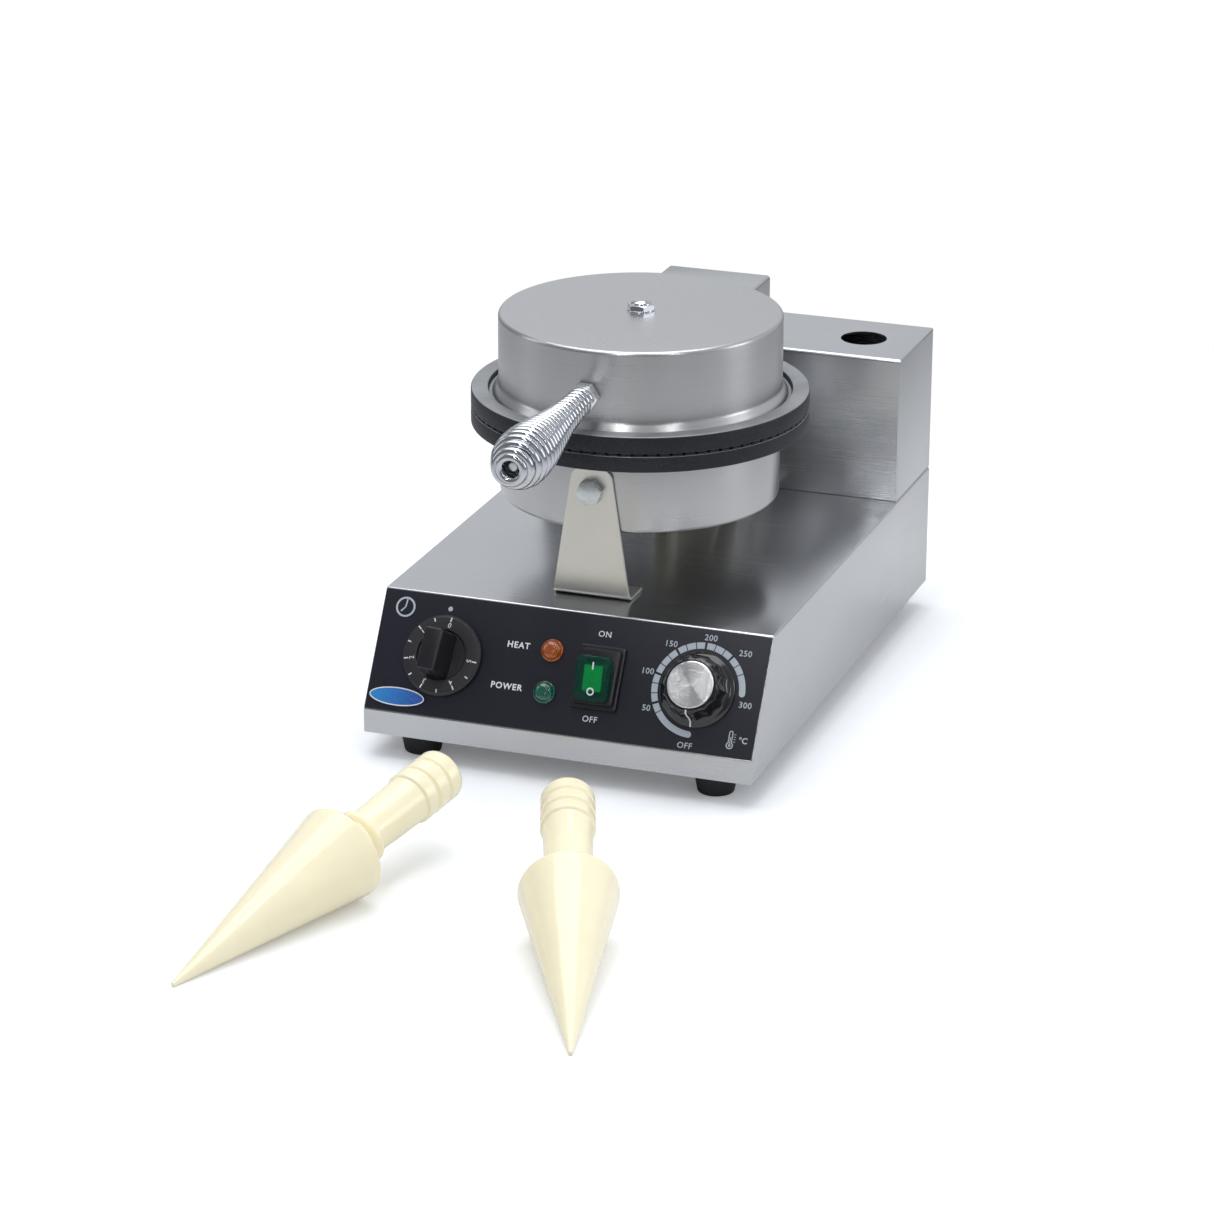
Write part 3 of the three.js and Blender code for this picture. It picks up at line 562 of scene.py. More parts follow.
def cast_plastic(name, color):
    """The formers' glossy ivory plastic, with flow marks, a little light passing through and a faint
    painted glow that brightens it all over.
    """
    n = Finish(name)
    flow = n.noise(22.0, 4.0)
    tone = n.vary(flow, color, 0.95)
    # the emission is a painted glow that lifts the ivory's brightness; the formers are no lamp
    n.set(Base_Color=tone, Roughness=n.band(n.noise(700.0, 2.0), 0.16, 0.24),
          Subsurface_Weight=0.25, Subsurface_Radius=(0.012, 0.009, 0.005), Subsurface_Scale=0.6,
          Coat_Weight=0.4, Coat_Roughness=0.03, Normal=n.bump(flow, 0.03, 0.0006), IOR=1.5,
          Emission_Color=tone, Emission_Strength=0.08)
    return n.material


def printed(name, color):
    """Screen-printed ink with a faintly uneven coverage."""
    n = Finish(name)
    ink = n.noise(1400.0, 2.0)
    n.set(Base_Color=n.vary(ink, color, 0.9), Roughness=0.5, Normal=n.bump(ink, 0.05, 0.00005))
    return n.material


def woven(name, color):
    """Glass sleeve or mineral board: pale, fibrous and matt."""
    n = Finish(name)
    weave = n.wave(420.0, "DIAGONAL", 3.0, n.stretched((1.0, 1.0, 1.4)).outputs[0])
    n.set(Base_Color=n.mix(weave, scaled(color, 0.8), color), Roughness=0.9,
          Normal=n.bump(weave, 0.4, 0.0003))
    return n.material


def badge_finish(name):
    """A plain blue plate, a little lighter to the left."""
    n = Finish(name)
    across = n.band(n.split(n.point, 0), 0.0, 1.0, -0.016, 0.016)
    fleck = n.noise(900.0, 2.0)
    tone = n.mix(across, rgb(0.02, 0.26, 0.66), rgb(0.01, 0.06, 0.42))
    n.set(Base_Color=n.mix(n.band(fleck, 0.0, 0.25), tone, rgb(0.1, 0.3, 0.6)), Roughness=0.3,
          Coat_Weight=0.6, Normal=n.bump(fleck, 0.04, 0.0001))
    return n.material


sheet_steel = brushed("sheet_steel", rgb(0.57, 0.58, 0.60), 0.23, grain=0.25)
bracket_steel = brushed("bracket_steel", rgb(0.74, 0.725, 0.68), 0.36, anisotropy=0.3)
drum_steel = spun("drum_steel", rgb(0.55, 0.55, 0.56), 0.30, IRON_Y, grain=0.6)
cap_aluminium = spun("cap_aluminium", rgb(0.97, 0.97, 0.98), 0.24, 0, grain=0.8,
                     anisotropy=0.95, plain_top=False, relief=30.0)
iron_metal = cast("iron_metal", rgb(0.02, 0.021, 0.026), rgb(0.42, 0.435, 0.46))
zinc_plate = plated("zinc_plate", rgb(0.66, 0.70, 0.71), 0.34, 0.16)
chrome_plate = plated("chrome_plate", rgb(0.58, 0.60, 0.64), 0.09, 0.04)
nut_plate = plated("nut_plate", rgb(0.93, 0.95, 0.97), 0.34, 0.05)
heater_steel = plated("heater_steel", rgb(0.30, 0.27, 0.25), 0.45)
brass_metal = plated("brass_metal", rgb(0.69, 0.5, 0.24), 0.3)
foil = moulded("foil", rgb(0.0085, 0.009, 0.020), 0.42, texture=0.12, grain=1600.0, variation=0.25)
black_plastic = moulded("black_plastic", rgb(0.012, 0.012, 0.016), 0.34)
gloss_black = moulded("gloss_black", rgb(0.006, 0.006, 0.008), 0.14, texture=0.03, coat=0.6)
dial_black = turned_plastic("dial_black", rgb(0.020, 0.020, 0.025))
rubber = moulded("rubber", rgb(0.012, 0.012, 0.014), 0.6, texture=0.3, grain=500.0)
amber = ribbed_lens("amber_lens", rgb(0.42, 0.085, 0.004), 0.12)
green = ribbed_lens("green_lens", rgb(0.002, 0.12, 0.075), 0.06)
rocker_green = moulded("rocker_green", rgb(0.002, 0.10, 0.055), 0.25, texture=0.05, coat=0.3)
window_green = lit_window("window_green", rgb(0.005, 0.55, 0.12), 0.25)
boot = clear_cover("boot", rgb(0.006, 0.085, 0.065), rgb(0.55, 0.95, 0.80), 0.28)
badge_blue = badge_finish("badge_blue")
ivory = cast_plastic("ivory", rgb(0.97, 0.895, 0.655))
white_ink = printed("white_ink", rgb(0.86, 0.88, 0.92))
pale_ink = printed("pale_ink", rgb(0.52, 0.58, 0.66))
mineral = woven("mineral", rgb(0.62, 0.58, 0.48))


# ---- Base and housing ----

def base_outline(inset):
    """The base's side view, drawn in (y, z), with its folds rounded."""
    low, high = BASE.low, BASE.high
    outline = soften([
        (low.y, low.z), (high.y, low.z), (high.y, high.z, BEND), (PANEL_TOP_Y, high.z, BEND),
        (low.y, low.z + LIP_HEIGHT, BEND),
    ], steps=6)
    return shrink(outline, inset) if inset else outline


def base_shell():
    """A box of sheet whose hollow runs out through its open underside."""
    half = BASE.size.x / 2
    outer = Solid().slab(base_outline(0), -half, half, edge=FOLD_EDGE, steps=4, matrix=ACROSS)
    hollow = base_outline(SHEET)
    for point in hollow:
        if point.y < BASE.low.z + 2 * SHEET:
            point.y -= 3 * SHEET
    inner = Solid().slab(hollow, -half + SHEET, half - SHEET, matrix=ACROSS)
    return carve("base", outer, [inner])


def rear_housing():
    low, high, half = HOUSING.low, HOUSING.high, HOUSING.size.x / 2
    side = soften([(low.y, low.z), (high.y, low.z), (high.y, high.z), (low.y, high.z, 2.2)])
    outer = Solid().slab(side, -half, half, edge=FOLD_EDGE, steps=4, matrix=ACROSS)
    inside = soften([
        (low.y + SHEET, low.z - OVERCUT), (high.y + OVERCUT, low.z - OVERCUT),
        (high.y + OVERCUT, high.z - SHEET), (low.y + SHEET, high.z - SHEET),
    ])
    cutters = [Solid().slab(inside, -half + SHEET, half - SHEET, matrix=ACROSS)]
    for x in (-HOLDER_X, HOLDER_X):
        cutters.append(Solid().slab(circle(HOLDER_RADIUS, 72), high.z - 5 * SHEET,
                                    high.z + 5 * SHEET, matrix=at(x, HOLDER_Y, 0)))
    return carve("housing", outer, cutters)


def rear_cover():
    """The back plate with its four screws."""
    cover, margin = Extent("rear_cover"), 9
    plate = Solid().slab(rectangle(cover.size.x, cover.size.z, 1.0), 0, cover.size.y, edge=0.3,
                         matrix=at(0, cover.high.y, cover.mid.z) @ ALONG_Y)
    screws = Solid()
    for x in (-1, 1):
        for z in (-1, 1):
            spot = at(x * (cover.size.x / 2 - margin), cover.high.y,
                      cover.mid.z + z * (cover.size.z / 2 - margin))
            screws.turn([(0, 0), (3.6, 0), (3.6, 1.0, 0.8), (2.2, 1.9, 1.0), (0, 2.0)], 24,
                        spot @ BACKWARD)
    place("rear_cover_plate", "base", sheet_steel, plate, "rear_cover")
    place("rear_cover_screws", "base", zinc_plate, screws)


def foot(name):
    """A rubber foot, narrower below, with a recess and a bore for its screw."""
    box, taper, bore, recess, depth = Extent(name), 3, 2.9, 5.5, 8.3
    top, height = box.size.x / 2, box.size.z
    return Solid().turn([
        (recess, 0), (top - taper, 0, 1.2), (top, height, 0.6), (bore, height), (bore, depth),
        (recess, depth),
    ], 40, at(box.mid.x, box.mid.y, box.low.z), steps=4, closed=True)


def cord_gland():
    axis = at(0, BASE.high.y, GLAND.mid.z) @ BACKWARD
    gland = Solid().turn([
        (4.9, -10), (10, -10, 0.6), (10, -1.5), (7.6, -1.5), (7.6, 0.3), (11, 0.3), (11, 6, 0.8),
        (9.2, 7, 0.6), (9.2, 11, 0.6), (7.2, 15, 1.2), (4.9, 15, 0.4),
    ], 40, axis, steps=3, closed=True)
    for angle in angles(10):
        gland.slab(rectangle(2.2, 1.6, 0.4, 2), 7.4, 11.4, edge=0.3,
                   matrix=axis @ spun_by(angle) @ at(9.6, 0, 0))
    return gland


def smooth_path(points, per_span=8):
    """A Catmull-Rom path through points."""
    out = []
    for i in range(len(points) - 1):
        p0, p1, p2 = points[max(i - 1, 0)], points[i], points[i + 1]
        p3 = points[min(i + 2, len(points) - 1)]
        for step in range(per_span):
            t = step / per_span
            out.append(0.5 * (2 * p1 + (p2 - p0) * t + (2 * p0 - 5 * p1 + 4 * p2 - p3) * t * t
                              + (3 * p1 - p0 - 3 * p2 + p3) * t ** 3))
    out.append(points[-1])
    return out


def mains_cord():
    """The lead: out of the gland, down to the counter, round a loop and up to the plug."""
    wall, height = BASE.high.y, GLAND.mid.z
    drop = ((0, -18, 0), (0, 0, 0), (0, 16, 0), (-2, 30, -5), (-5, 40, -19), (-9, 47, -35))
    points = [Vector((x, wall + y, height + z)) for x, y, z in drop]
    radius, shrinks, turns, per_turn = 38.0, 9.0, 1.25, 14
    lying, lifted, rising_from = 4.8, 10, 0.9
    centre = Vector((PLUG.high.x + 34.0, PLUG.mid.y - radius + shrinks * turns))
    for i in range(int(turns * per_turn) + 1):
        turn = i / per_turn
        reach = radius - shrinks * turn
        rise = min(1.0, max(0.0, (turn - rising_from) / (turns - rising_from)))
        points.append(Vector((centre.x + reach * math.cos(TURN * turn),
                              centre.y + reach * math.sin(TURN * turn),
                              lying + lifted * rise * rise * (3 - 2 * rise))))
    for x, z in ((centre.x - 14, 17), (centre.x - 24, 19), (PLUG.high.x + 0.5, 19)):
        points.append(Vector((x, PLUG.mid.y, z)))
    return Solid().tube(smooth_path(points), 4.0, 18)


def mains_plug():
    """A round moulding with three grip rings on its neck, and two pins."""
    axis = at(PLUG.high.x, PLUG.mid.y, PLUG.mid.z) @ ALONG_X.inverted()
    body = Solid().turn([
        (0, 0), (6.2, 0, 0.8), (7.6, 10, 2.0), (9.5, 14, 3.0), (18.2, 20, 3.0), (18.6, 33, 1.6),
        (16.4, 34, 0.4), (15.8, 29, 0.5), (0, 29),
    ], 56, axis, steps=4)
    for ring in range(3):
        z, radius = 2.5 + 3.4 * ring, 7.4 + 0.4 * ring
        body.turn([(6, z - 1), (radius, z - 1, 0.4), (radius, z + 1, 0.4), (6, z + 1)], 40, axis,
                  closed=True)
    pins = Solid()
    for x in (-9.5, 9.5):
        pins.turn([(0, 28.5), (2.4, 28.5), (2.4, 53, 1.6), (0, 53)], 20, axis @ at(x, 0, 0))
    place("plug_body", "base", rubber, body, "power_plug")
    place("plug_pins", "base", zinc_plate, pins)


def build_base():
    place("base_casing", "base", sheet_steel, base_shell(), "base_shell")
    place("housing_casing", "base", sheet_steel, rear_housing(), "rear_housing")
    rear_cover()
    for corner in CORNERS:
        place(f"rubber_foot_{corner}", "base", rubber, foot(f"foot_{corner}"), f"foot_{corner}")
    place("cable_gland", "base", black_plastic, cord_gland(), "cord_gland")
    place("mains_cord", "base", rubber, mains_cord(), "power_cord")
    mains_plug()


# ---- Hexagon fasteners ----

def hexagon_head(solid, flats, low, high, matrix=None):
    """A hexagon with the turned chamfer of a real bolt head."""
    crown, fall = flats / 2 * 0.98, 0.6
    rim = [(a, flats / 2 / math.cos(a % (TURN / 6) - TURN / 12)) for a in angles(48)]
    return solid.loft([
        [spoke(r, a, low) for a, r in rim],
        [spoke(r, a, high - max(0.0, r - crown) * fall) for a, r in rim],
        [spoke(min(r, crown), a, high) for a, r in rim],
    ], matrix=matrix)


def bracket_bolt(node, way):
    seat, flats, height, lean = 89.6, 14.2, 5.3, 0.22
    axis = at(0, IRON_Y + way * seat, Extent(node).mid.z) @ (BACKWARD if way > 0 else ALONG_Y)
    head = hexagon_head(Solid(), flats, 0, height, axis @ spun_by(lean))
    return head.slab(circle(4.0, 24), -12, 0.1, matrix=axis)


# ---- Lower iron ----

def bracket(way):
    """A strip of sheet, bent forward at its foot, narrow and rounded at its top."""
    sheet, edge, bend, corner, narrow, face = 2.0, 0.35, 5.0, 5.0, 12.5, 89.3
    top, bottom, wide = BRACKET.high.z, BRACKET.low.z, BRACKET.size.x / 2
    quarter = math.pi / 2

    def half_width(z):
        width = narrow + (wide - narrow) * (top - z) / (top - bottom)
        if top - z < corner:
            width -= corner - math.sqrt(max(0.0, corner ** 2 - (corner - (top - z)) ** 2))
        return width

    straight = top - corner - bottom - bend
    line = [(face, top - corner * (1 - math.cos(quarter * i / 8)), 0.0) for i in range(9)]
    line += [(face, top - corner - straight * i / 6, 0.0) for i in range(1, 7)]
    line += [(face - bend + bend * math.cos(a), bottom + bend - bend * math.sin(a), a)
             for a in (quarter * i / 6 for i in range(1, 7))]
    line.append((face - BRACKET.size.y, bottom, quarter))
    section = (
        (-1, 0, edge), (-1, edge, 0), (1, edge, 0), (1, 0, edge), (1, 0, sheet - edge),
        (1, edge, sheet), (-1, edge, sheet), (-1, 0, sheet - edge),
    )
    rings = [[Vector((side * (half_width(z) - inset), y - depth * math.cos(lean),
                      z + depth * math.sin(lean))) for side, inset, depth in section]
             for y, z, lean in line]
    return Solid().loft(rings, matrix=IRON @ spun_by(math.pi if way < 0 else 0))


def lower_drum():
    radius, low, high = DRUM.size.x / 2, DRUM.low.z, DRUM.high.z
    return Solid().turn([
        (0, low), (radius, low, 2.6), (radius, high, 0.5), (radius - SHEET, high, 0.4),
        (radius - SHEET, low + SHEET, 1.4), (0, low + SHEET),
    ], 128, IRON)


def grid_blocks(solid, base, height):
    """Rows of small flat-topped pyramids, the raised squares between a waffle's ribs."""
    pitch, gap, taper, radius = 9.0, 1.6, 0.5, PLATE_RADIUS - 6
    half = (pitch - gap) / 2
    levels = [(half, base), (half - taper, base + height)]
    if height < 0:
        levels.reverse()
    steps = [i * pitch for i in range(-int(radius / pitch), int(radius / pitch) + 1)]
    for x, y in [(x, y) for x in steps for y in steps]:
        if math.hypot(abs(x) + pitch / 2, abs(y) + pitch / 2) <= radius:
            solid.loft([[Vector((x + i * w, y + j * w, z)) for i, j in SQUARE] for w, z in levels],
                       matrix=IRON @ spun_by(math.pi / 4))


def rim_teeth(solid, base, height):
    """The raised rim that closes the iron, broken by vents all the way round."""
    count, share, steps = 84, 0.76, 3
    inner, outer = PLATE_RADIUS - 5, PLATE_RADIUS - 0.5
    section = ((inner, base), (outer, base), (outer, base + height), (inner, base + height))
    for start in angles(count):
        tooth = [start + TURN / count * share * i / steps for i in range(steps + 1)]
        solid.loft([[spoke(r, a, z) for r, z in section] for a in tooth], matrix=IRON)


def lower_plate():
    low, high, radius = LOWER_PLATE.low.z, LOWER_PLATE.high.z, PLATE_RADIUS
    plate = Solid().turn([
        (0, low), (radius, low, 1.0), (radius, high, 0.7), (radius - 5, high, 0.2),
        (radius - 5.4, high - 0.8), (0, high - 0.8),
    ], 144, IRON, steps=4)
    grid_blocks(plate, high - 0.9, 1.0)
    rim_teeth(plate, high - 0.1, 0.75)
    return plate


def upper_plate():
    low, high, radius = UPPER_PLATE.low.z, UPPER_PLATE.high.z, PLATE_RADIUS
    recess = LID.low.z - 0.3
    plate = Solid().turn([
        (0, low + 0.8), (radius - 5.4, low + 0.8), (radius - 5, low, 0.2), (radius, low, 0.7),
        (radius, high, 1.2), (94.4, high, 0.8), (93.6, recess, 0.3), (0, recess),
    ], 144, IRON, steps=4)
    grid_blocks(plate, low + 0.9, -0.9)
    rim_teeth(plate, low - 0.55, 0.65)
    return plate


def build_lower_iron():
    place("drum_shell", "base", drum_steel, lower_drum(), "lower_drum")
    place("bottom_baking_plate", "base", iron_metal, lower_plate(), "lower_plate")
    for name, way in (("front", -1), ("rear", 1)):
        node = f"{name}_bracket"
        place(f"{name}_strip_bracket", "base", bracket_steel, bracket(way), node)
        node += "_bolt"
        place(f"{name}_hex_bolt", "base", zinc_plate, bracket_bolt(node, way), node)


# ---- Lid ----

def lid_shell():
    foot_z, top, radius, flange = LID.low.z, LID.high.z, LID_RADIUS, FLANGE_RADIUS
    return Solid().turn([
        (0, top - SHEET), (radius - SHEET, top - SHEET, 2.0), (radius - SHEET, foot_z + 5, 3.0),
        (flange - SHEET, foot_z, 0.3), (flange, foot_z, 0.3), (radius, foot_z + 5.6, 4.5),
        (radius, top, 2.6), (radius * 0.6, top + 0.9, 60), (0, top + 1.2),
    ], 144, IRON, steps=7)


def cap_nut():
    """A low domed nut: a round flange, a chamfered hexagon and a polished crown."""
    seat, crown, rise, steps = Extent("lid_cap_nut").low.z + 0.6, 6.4, 3.0, 9
    nut = Solid().turn([
        (0, seat - 1), (8.6, seat - 1), (8.6, seat + 1.0, 0.5), (0, seat + 1.3),
    ], 48, IRON)
    hexagon_head(nut, 15.0, seat + 0.9, seat + 4.2, IRON)
    arc = [math.pi / 2 * i / steps for i in range(steps)]
    dome = [(crown * math.cos(a), seat + 4.0 + rise * math.sin(a)) for a in arc]
    return nut.turn([(0, seat + 3.5), (crown, seat + 3.5), *dome, (0, seat + 4.0 + rise)], 48, IRON)


GRIP = (                             # share of the way from the lid to the free end, outer radius
    (0, 8.5), (0.15, 9.1), (0.3, 10.4), (0.45, 12.6), (0.6, 15.2), (0.75, 17.6), (0.85, 18.0),
    (0.93, 16.4), (1, 11.8),
)


def grip_radius(t):
    for (t0, r0), (t1, r1) in zip(GRIP, GRIP[1:]):
        if t <= t1:
            return r0 + (r1 - r0) * ((t - t0) / (t1 - t0))


def smoothed_grip(t, window=0.04):
    samples = [grip_radius(min(1.0, max(0.0, t + window * i / 3))) for i in range(-3, 4)]
    return sum(samples) / len(samples)


def handle_coil():
    """Close-wound wire that swells under the hand and closes in to a ring at the end."""
    wire, pitch, per_turn = 2.62, 5.45, 40
    start, end = 7.2 + wire, 129.7 - wire
    turns = (end - start) / pitch
    path = []
    for i in range(int(turns * per_turn) + 1):
        t = i / (turns * per_turn)
        path.append(spoke(smoothed_grip(t) - wire, TURN * turns * t, start + (end - start) * t))
    closing, end_ring, drawing_in = smoothed_grip(1.0) - wire, 7.5, 0.4
    for i in range(1, int(per_turn * (1 + drawing_in)) + 1):
        share = min(1.0, i / (per_turn * drawing_in))
        path.append(spoke(closing + (end_ring - closing) * share,
                          TURN * turns + TURN * i / per_turn, end))
    return Solid().tube(path, wire, 14)


def build_lid():
    place("lid_casing", "lid", drum_steel, lid_shell(), "lid_shell")
    place("top_baking_plate", "lid", iron_metal, upper_plate(), "upper_plate")
    place("lid_dome_nut", "lid", chrome_plate, cap_nut(), "lid_cap_nut")
    root = at(Extent("handle_rod").mid.x, IRON_Y - LID_RADIUS, 226.0)
    handle = root @ Matrix.Rotation(math.radians(93.1), 4, "X")
    nut = hexagon_head(Solid(), 16.0, 0.8, 6.8)
    rod = Solid().turn([(0, -12), (3.2, -12, 0.5), (3.2, 124, 0.9), (0, 124)], 28)
    place("grip_nut", "lid", nut_plate, nut, "handle_nut", handle)
    place("grip_rod", "lid", zinc_plate, rod, "handle_rod", handle)
    place("grip_coil", "lid", chrome_plate, handle_coil(), "handle_coil", handle, crease=80)


# ---- Hinge ----

def hinge_bracket():
    """Two ears and a web of 3 mm plate standing on the base."""
    foot_z, y0, y1, web_top = HINGE.low.z, HINGE.low.y, HINGE.high.y, 190
    ear = soften([
        (y0, foot_z), (y1, foot_z), (y1, HINGE_Z + 10, 9), (HINGE_Y - 10, HINGE_Z + 10, 9),
        (y0, web_top + 2, 6),
    ], steps=6)
    solid = Solid()
    for way in (-1, 1):
        inner, outer = sorted((way * 27.0, way * 30.0))
        solid.slab(ear, inner, outer, edge=0.4, matrix=ACROSS)
        solid.slab(rectangle(13, 30, 2), foot_z, foot_z + 2, edge=0.4,
                   matrix=at(way * 35.5, (y0 + y1) / 2, 0))
    return solid.slab(rectangle(54.5, web_top - foot_z, 1), 0, 2, edge=0.3,
                      matrix=at(0, y0 + 2, (web_top + foot_z) / 2) @ ALONG_Y)


def hinge_pin():
    return Solid().turn([
        (0, -32), (4, -32, 0.8), (4, 30.3), (6, 30.3, 0.3), (6, 32.6, 1.2), (0, 32.6),
    ], 36, at(0, HINGE_Y, HINGE_Z) @ ALONG_X, steps=4)


def hinge_arm():
    """A strap from the upper plate to the pin, held by two bolts."""
    low = UPPER_PLATE.high.z + 0.3
    high, front = low + 5.7, ARM.low.y
    strap = soften([
        (front, low, 0.6), (HINGE_Y - 10, low, 3), (HINGE_Y, HINGE_Z - 9, 1),
        (HINGE_Y + 9, HINGE_Z, 7), (HINGE_Y + 4, HINGE_Z + 9, 5), (HINGE_Y - 10, HINGE_Z + 6, 8),
        (front + 18, high, 8), (front, high, 1.2),
    ], steps=6)
    solid = Solid().slab(strap, -20, 20, edge=0.8, matrix=ACROSS)
    for x in (-12, 12):
        hexagon_head(solid, 10.0, low + 5.5, low + 9.4, at(x, front + 7.5, 0))
    return solid


def hinge_spring(way):
    """Two turns of wire round the pin, beside an ear."""
    count, per_turn, reach, start, length = 64, 32, 6.3, 21.8, 4.0
    path = [Vector((way * (start + length * i / count),
                    HINGE_Y + reach * math.cos(TURN * i / per_turn),
                    HINGE_Z + reach * math.sin(TURN * i / per_turn))) for i in range(count + 1)]
    return Solid().tube(path, 0.9, 10)


def hinge_hood():
    """An inverted channel of sheet, cut to the lid's round wall."""
    low, high, half = HOOD.low, HOOD.high, HOOD.size.x / 2
    roof = soften([(-half, low.z), (half, low.z), (half, high.z, 2.2), (-half, high.z, 2.2)])
    inside = soften([
        (-half + SHEET, low.z - OVERCUT), (half - SHEET, low.z - OVERCUT),
        (half - SHEET, high.z - SHEET, 1), (-half + SHEET, high.z - SHEET, 1),
    ])
    axis = at(0, high.y, 0) @ ALONG_Y
    length, gap, floor_z = high.y - IRON_Y - 60, 0.3, 190
    outer = Solid().slab(roof, 0, length, edge=0.3, matrix=axis)
    return carve("hood", outer, [
        Solid().slab(inside, -OVERCUT, length + OVERCUT, matrix=axis),
        Solid().slab(circle(LID_RADIUS + gap, 160), floor_z, 260, matrix=IRON),
        Solid().slab(circle(FLANGE_RADIUS + gap, 160), floor_z, 211, matrix=IRON),
    ])


def build_hinge():
    place("hinge_ears", "base", bracket_steel, hinge_bracket(), "hinge_bracket")
    place("hinge_axle", "base", zinc_plate, hinge_pin(), "hinge_pin")
    place("hinge_strap", "lid", iron_metal, hinge_arm(), "hinge_arm")
    for name, way in (("left", -1), ("right", 1)):
        place(f"torsion_spring_{name}", "base", zinc_plate, hinge_spring(way), f"hinge_spring_{name}")
    place("hinge_hood", "lid", sheet_steel, hinge_hood(), "hinge_cover")


# ---- Prints ----

CAP_SHARE = 0.715                    # capital height of the built-in font, as a share of its size
INK = 0.06
INK_LEVEL = FOIL_TOP + 0.01


def lettering(solid, words, height, x, y, turn=0.0, weight=0.0, level=INK_LEVEL, spacing=1.0):
    """Adds words centred on (x, y), standing proud of a level by the ink's thickness."""
    curve = bpy.data.curves.new("letters", "FONT")
    curve.body = words
    curve.size = height / CAP_SHARE
    curve.align_x = "CENTER"
    curve.align_y = "CENTER"
    curve.extrude = INK / 2
    curve.offset = weight
    curve.space_character = spacing
    curve.resolution_u = 3
    text = linked("letters", curve)
    mesh = final_mesh(text)
    bpy.data.objects.remove(text)
    solid.merge(mesh, at(x, y, level + INK / 2) @ spun_by(math.radians(-turn)))
    bpy.data.meshes.remove(mesh)


def bar_mark(solid, spot, length, width, turn=0, level=INK_LEVEL):
    """A short printed stroke; its long side points away from the dial's centre."""
    matrix = at(spot.x, spot.y, level) @ spun_by(math.radians(-turn))
    solid.slab(rectangle(width, length, 0.1, 2), 0, INK, matrix=matrix)


def mark(solid, outline, x, y, level=INK_LEVEL, ink=INK):
    solid.slab(outline, level, level + ink, matrix=at(x, y, 0))


def two_arcs(solid, radius, width, start, span, x, y, **settings):
    for turn in (start, start + span):
        mark(solid, arc_band(radius, width, turn, turn + span), x, y, **settings)


def clock_symbol(solid, centre, radius):
    two_arcs(solid, radius - 0.6, 1.2, 0, 180, centre.x, centre.y)
    for length, turn in ((radius - 1.4, 6.0), (radius * 0.62, 222.0)):
        bar_mark(solid, centre + polar(length / 2, turn), length, 0.9, turn)


def thermometer_symbol(solid, centre):
    x, bulb = centre.x, centre.y - 3.2
    two_arcs(solid, 1.9, 0.7, 25, 155, x, bulb)
    mark(solid, circle(0.8, 20), x, bulb)
    for side in (-1.0, 1.0):
        bar_mark(solid, centre + Vector((side, 1.4)), 6.2, 0.6)
    mark(solid, arc_band(1.0, 0.6, -90, 90), x, centre.y + 4.4)
    bar_mark(solid, centre + Vector((0, -0.6)), 4.6, 0.5)
    for tick in range(4):
        bar_mark(solid, centre + Vector((2.6, 3.6 - 1.5 * tick)), 0.35, 1.2)


SCALE_STEP = 37.7                    # degrees between two numbers; 200 is straight up
SCALE_RADIUS = 27.3
SCALE_WIDTH = 3.9
SCALE_OFF = 183
SCALE_END = 447.5


def temperature_scale(solid):
    """A broken arc: one long band, blocks of a third of a step, and a long tail."""
    def band(start, end):
        mark(solid, arc_band(SCALE_RADIUS, SCALE_WIDTH, start, end), THERMOSTAT.x, THERMOSTAT.y)

    first, block = 360 - 3 * SCALE_STEP, SCALE_STEP / 3
    wide, fine = 1.5, 0.6            # half gaps, at a number and between
    band(SCALE_OFF, first - block - fine)
    for i in range(-1, 14):
        band(first + block * i + (wide if i % 3 == 0 else fine),
             first + block * (i + 1) - (wide if i % 3 == 2 else fine))
    band(first + block * 14 + fine, SCALE_END)
    for angle in (SCALE_OFF, SCALE_END):
        end = THERMOSTAT + polar(SCALE_RADIUS, angle)
        mark(solid, circle(SCALE_WIDTH / 2, 20), end.x, end.y, ink=INK - 0.005)


def panel_prints():
    white = Solid()
    for words, height, x, y, weight, spacing in (
            ("HEAT", 3.8, -33.0, -25.9, 0.14, 1.16), ("POWER", 3.8, -36.0, -51.9, 0.14, 1.16),
            ("ON", 3.7, 20.2, -12.5, 0.04, 1.1), ("OFF", 3.7, 20.2, -65.1, 0.04, 1.1)):
        lettering(white, words, height, x, y, weight=weight, spacing=spacing)
    place("panel_print_words", "base", white_ink, white, None, PANEL)
    pale = Solid()
    for words, x, y in (("50", 54.0, -53.5), ("100", 50.8, -31.2), ("150", 62.4, -12.9),
                        ("200", 86.5, -6.4), ("250", 109.4, -13.2), ("300", 114.7, -44.2),
                        ("OFF", 81.8, -73.0)):
        lettering(pale, words, 3.7, x, y, weight=0.05, spacing=1.08)
    lettering(pale, "°C", 3.6, 117.2, -65.5, weight=0.1)
    temperature_scale(pale)
    thermometer_symbol(pale, Vector((109.3, -65.9)))
    clock_symbol(pale, Vector((-109.7, -11.4)), 6.3)
    mark(pale, circle(1.5, 24), -80.6, -9.2)
    place("panel_print_scale", "base", pale_ink, pale, None, PANEL)


# ---- Controls ----

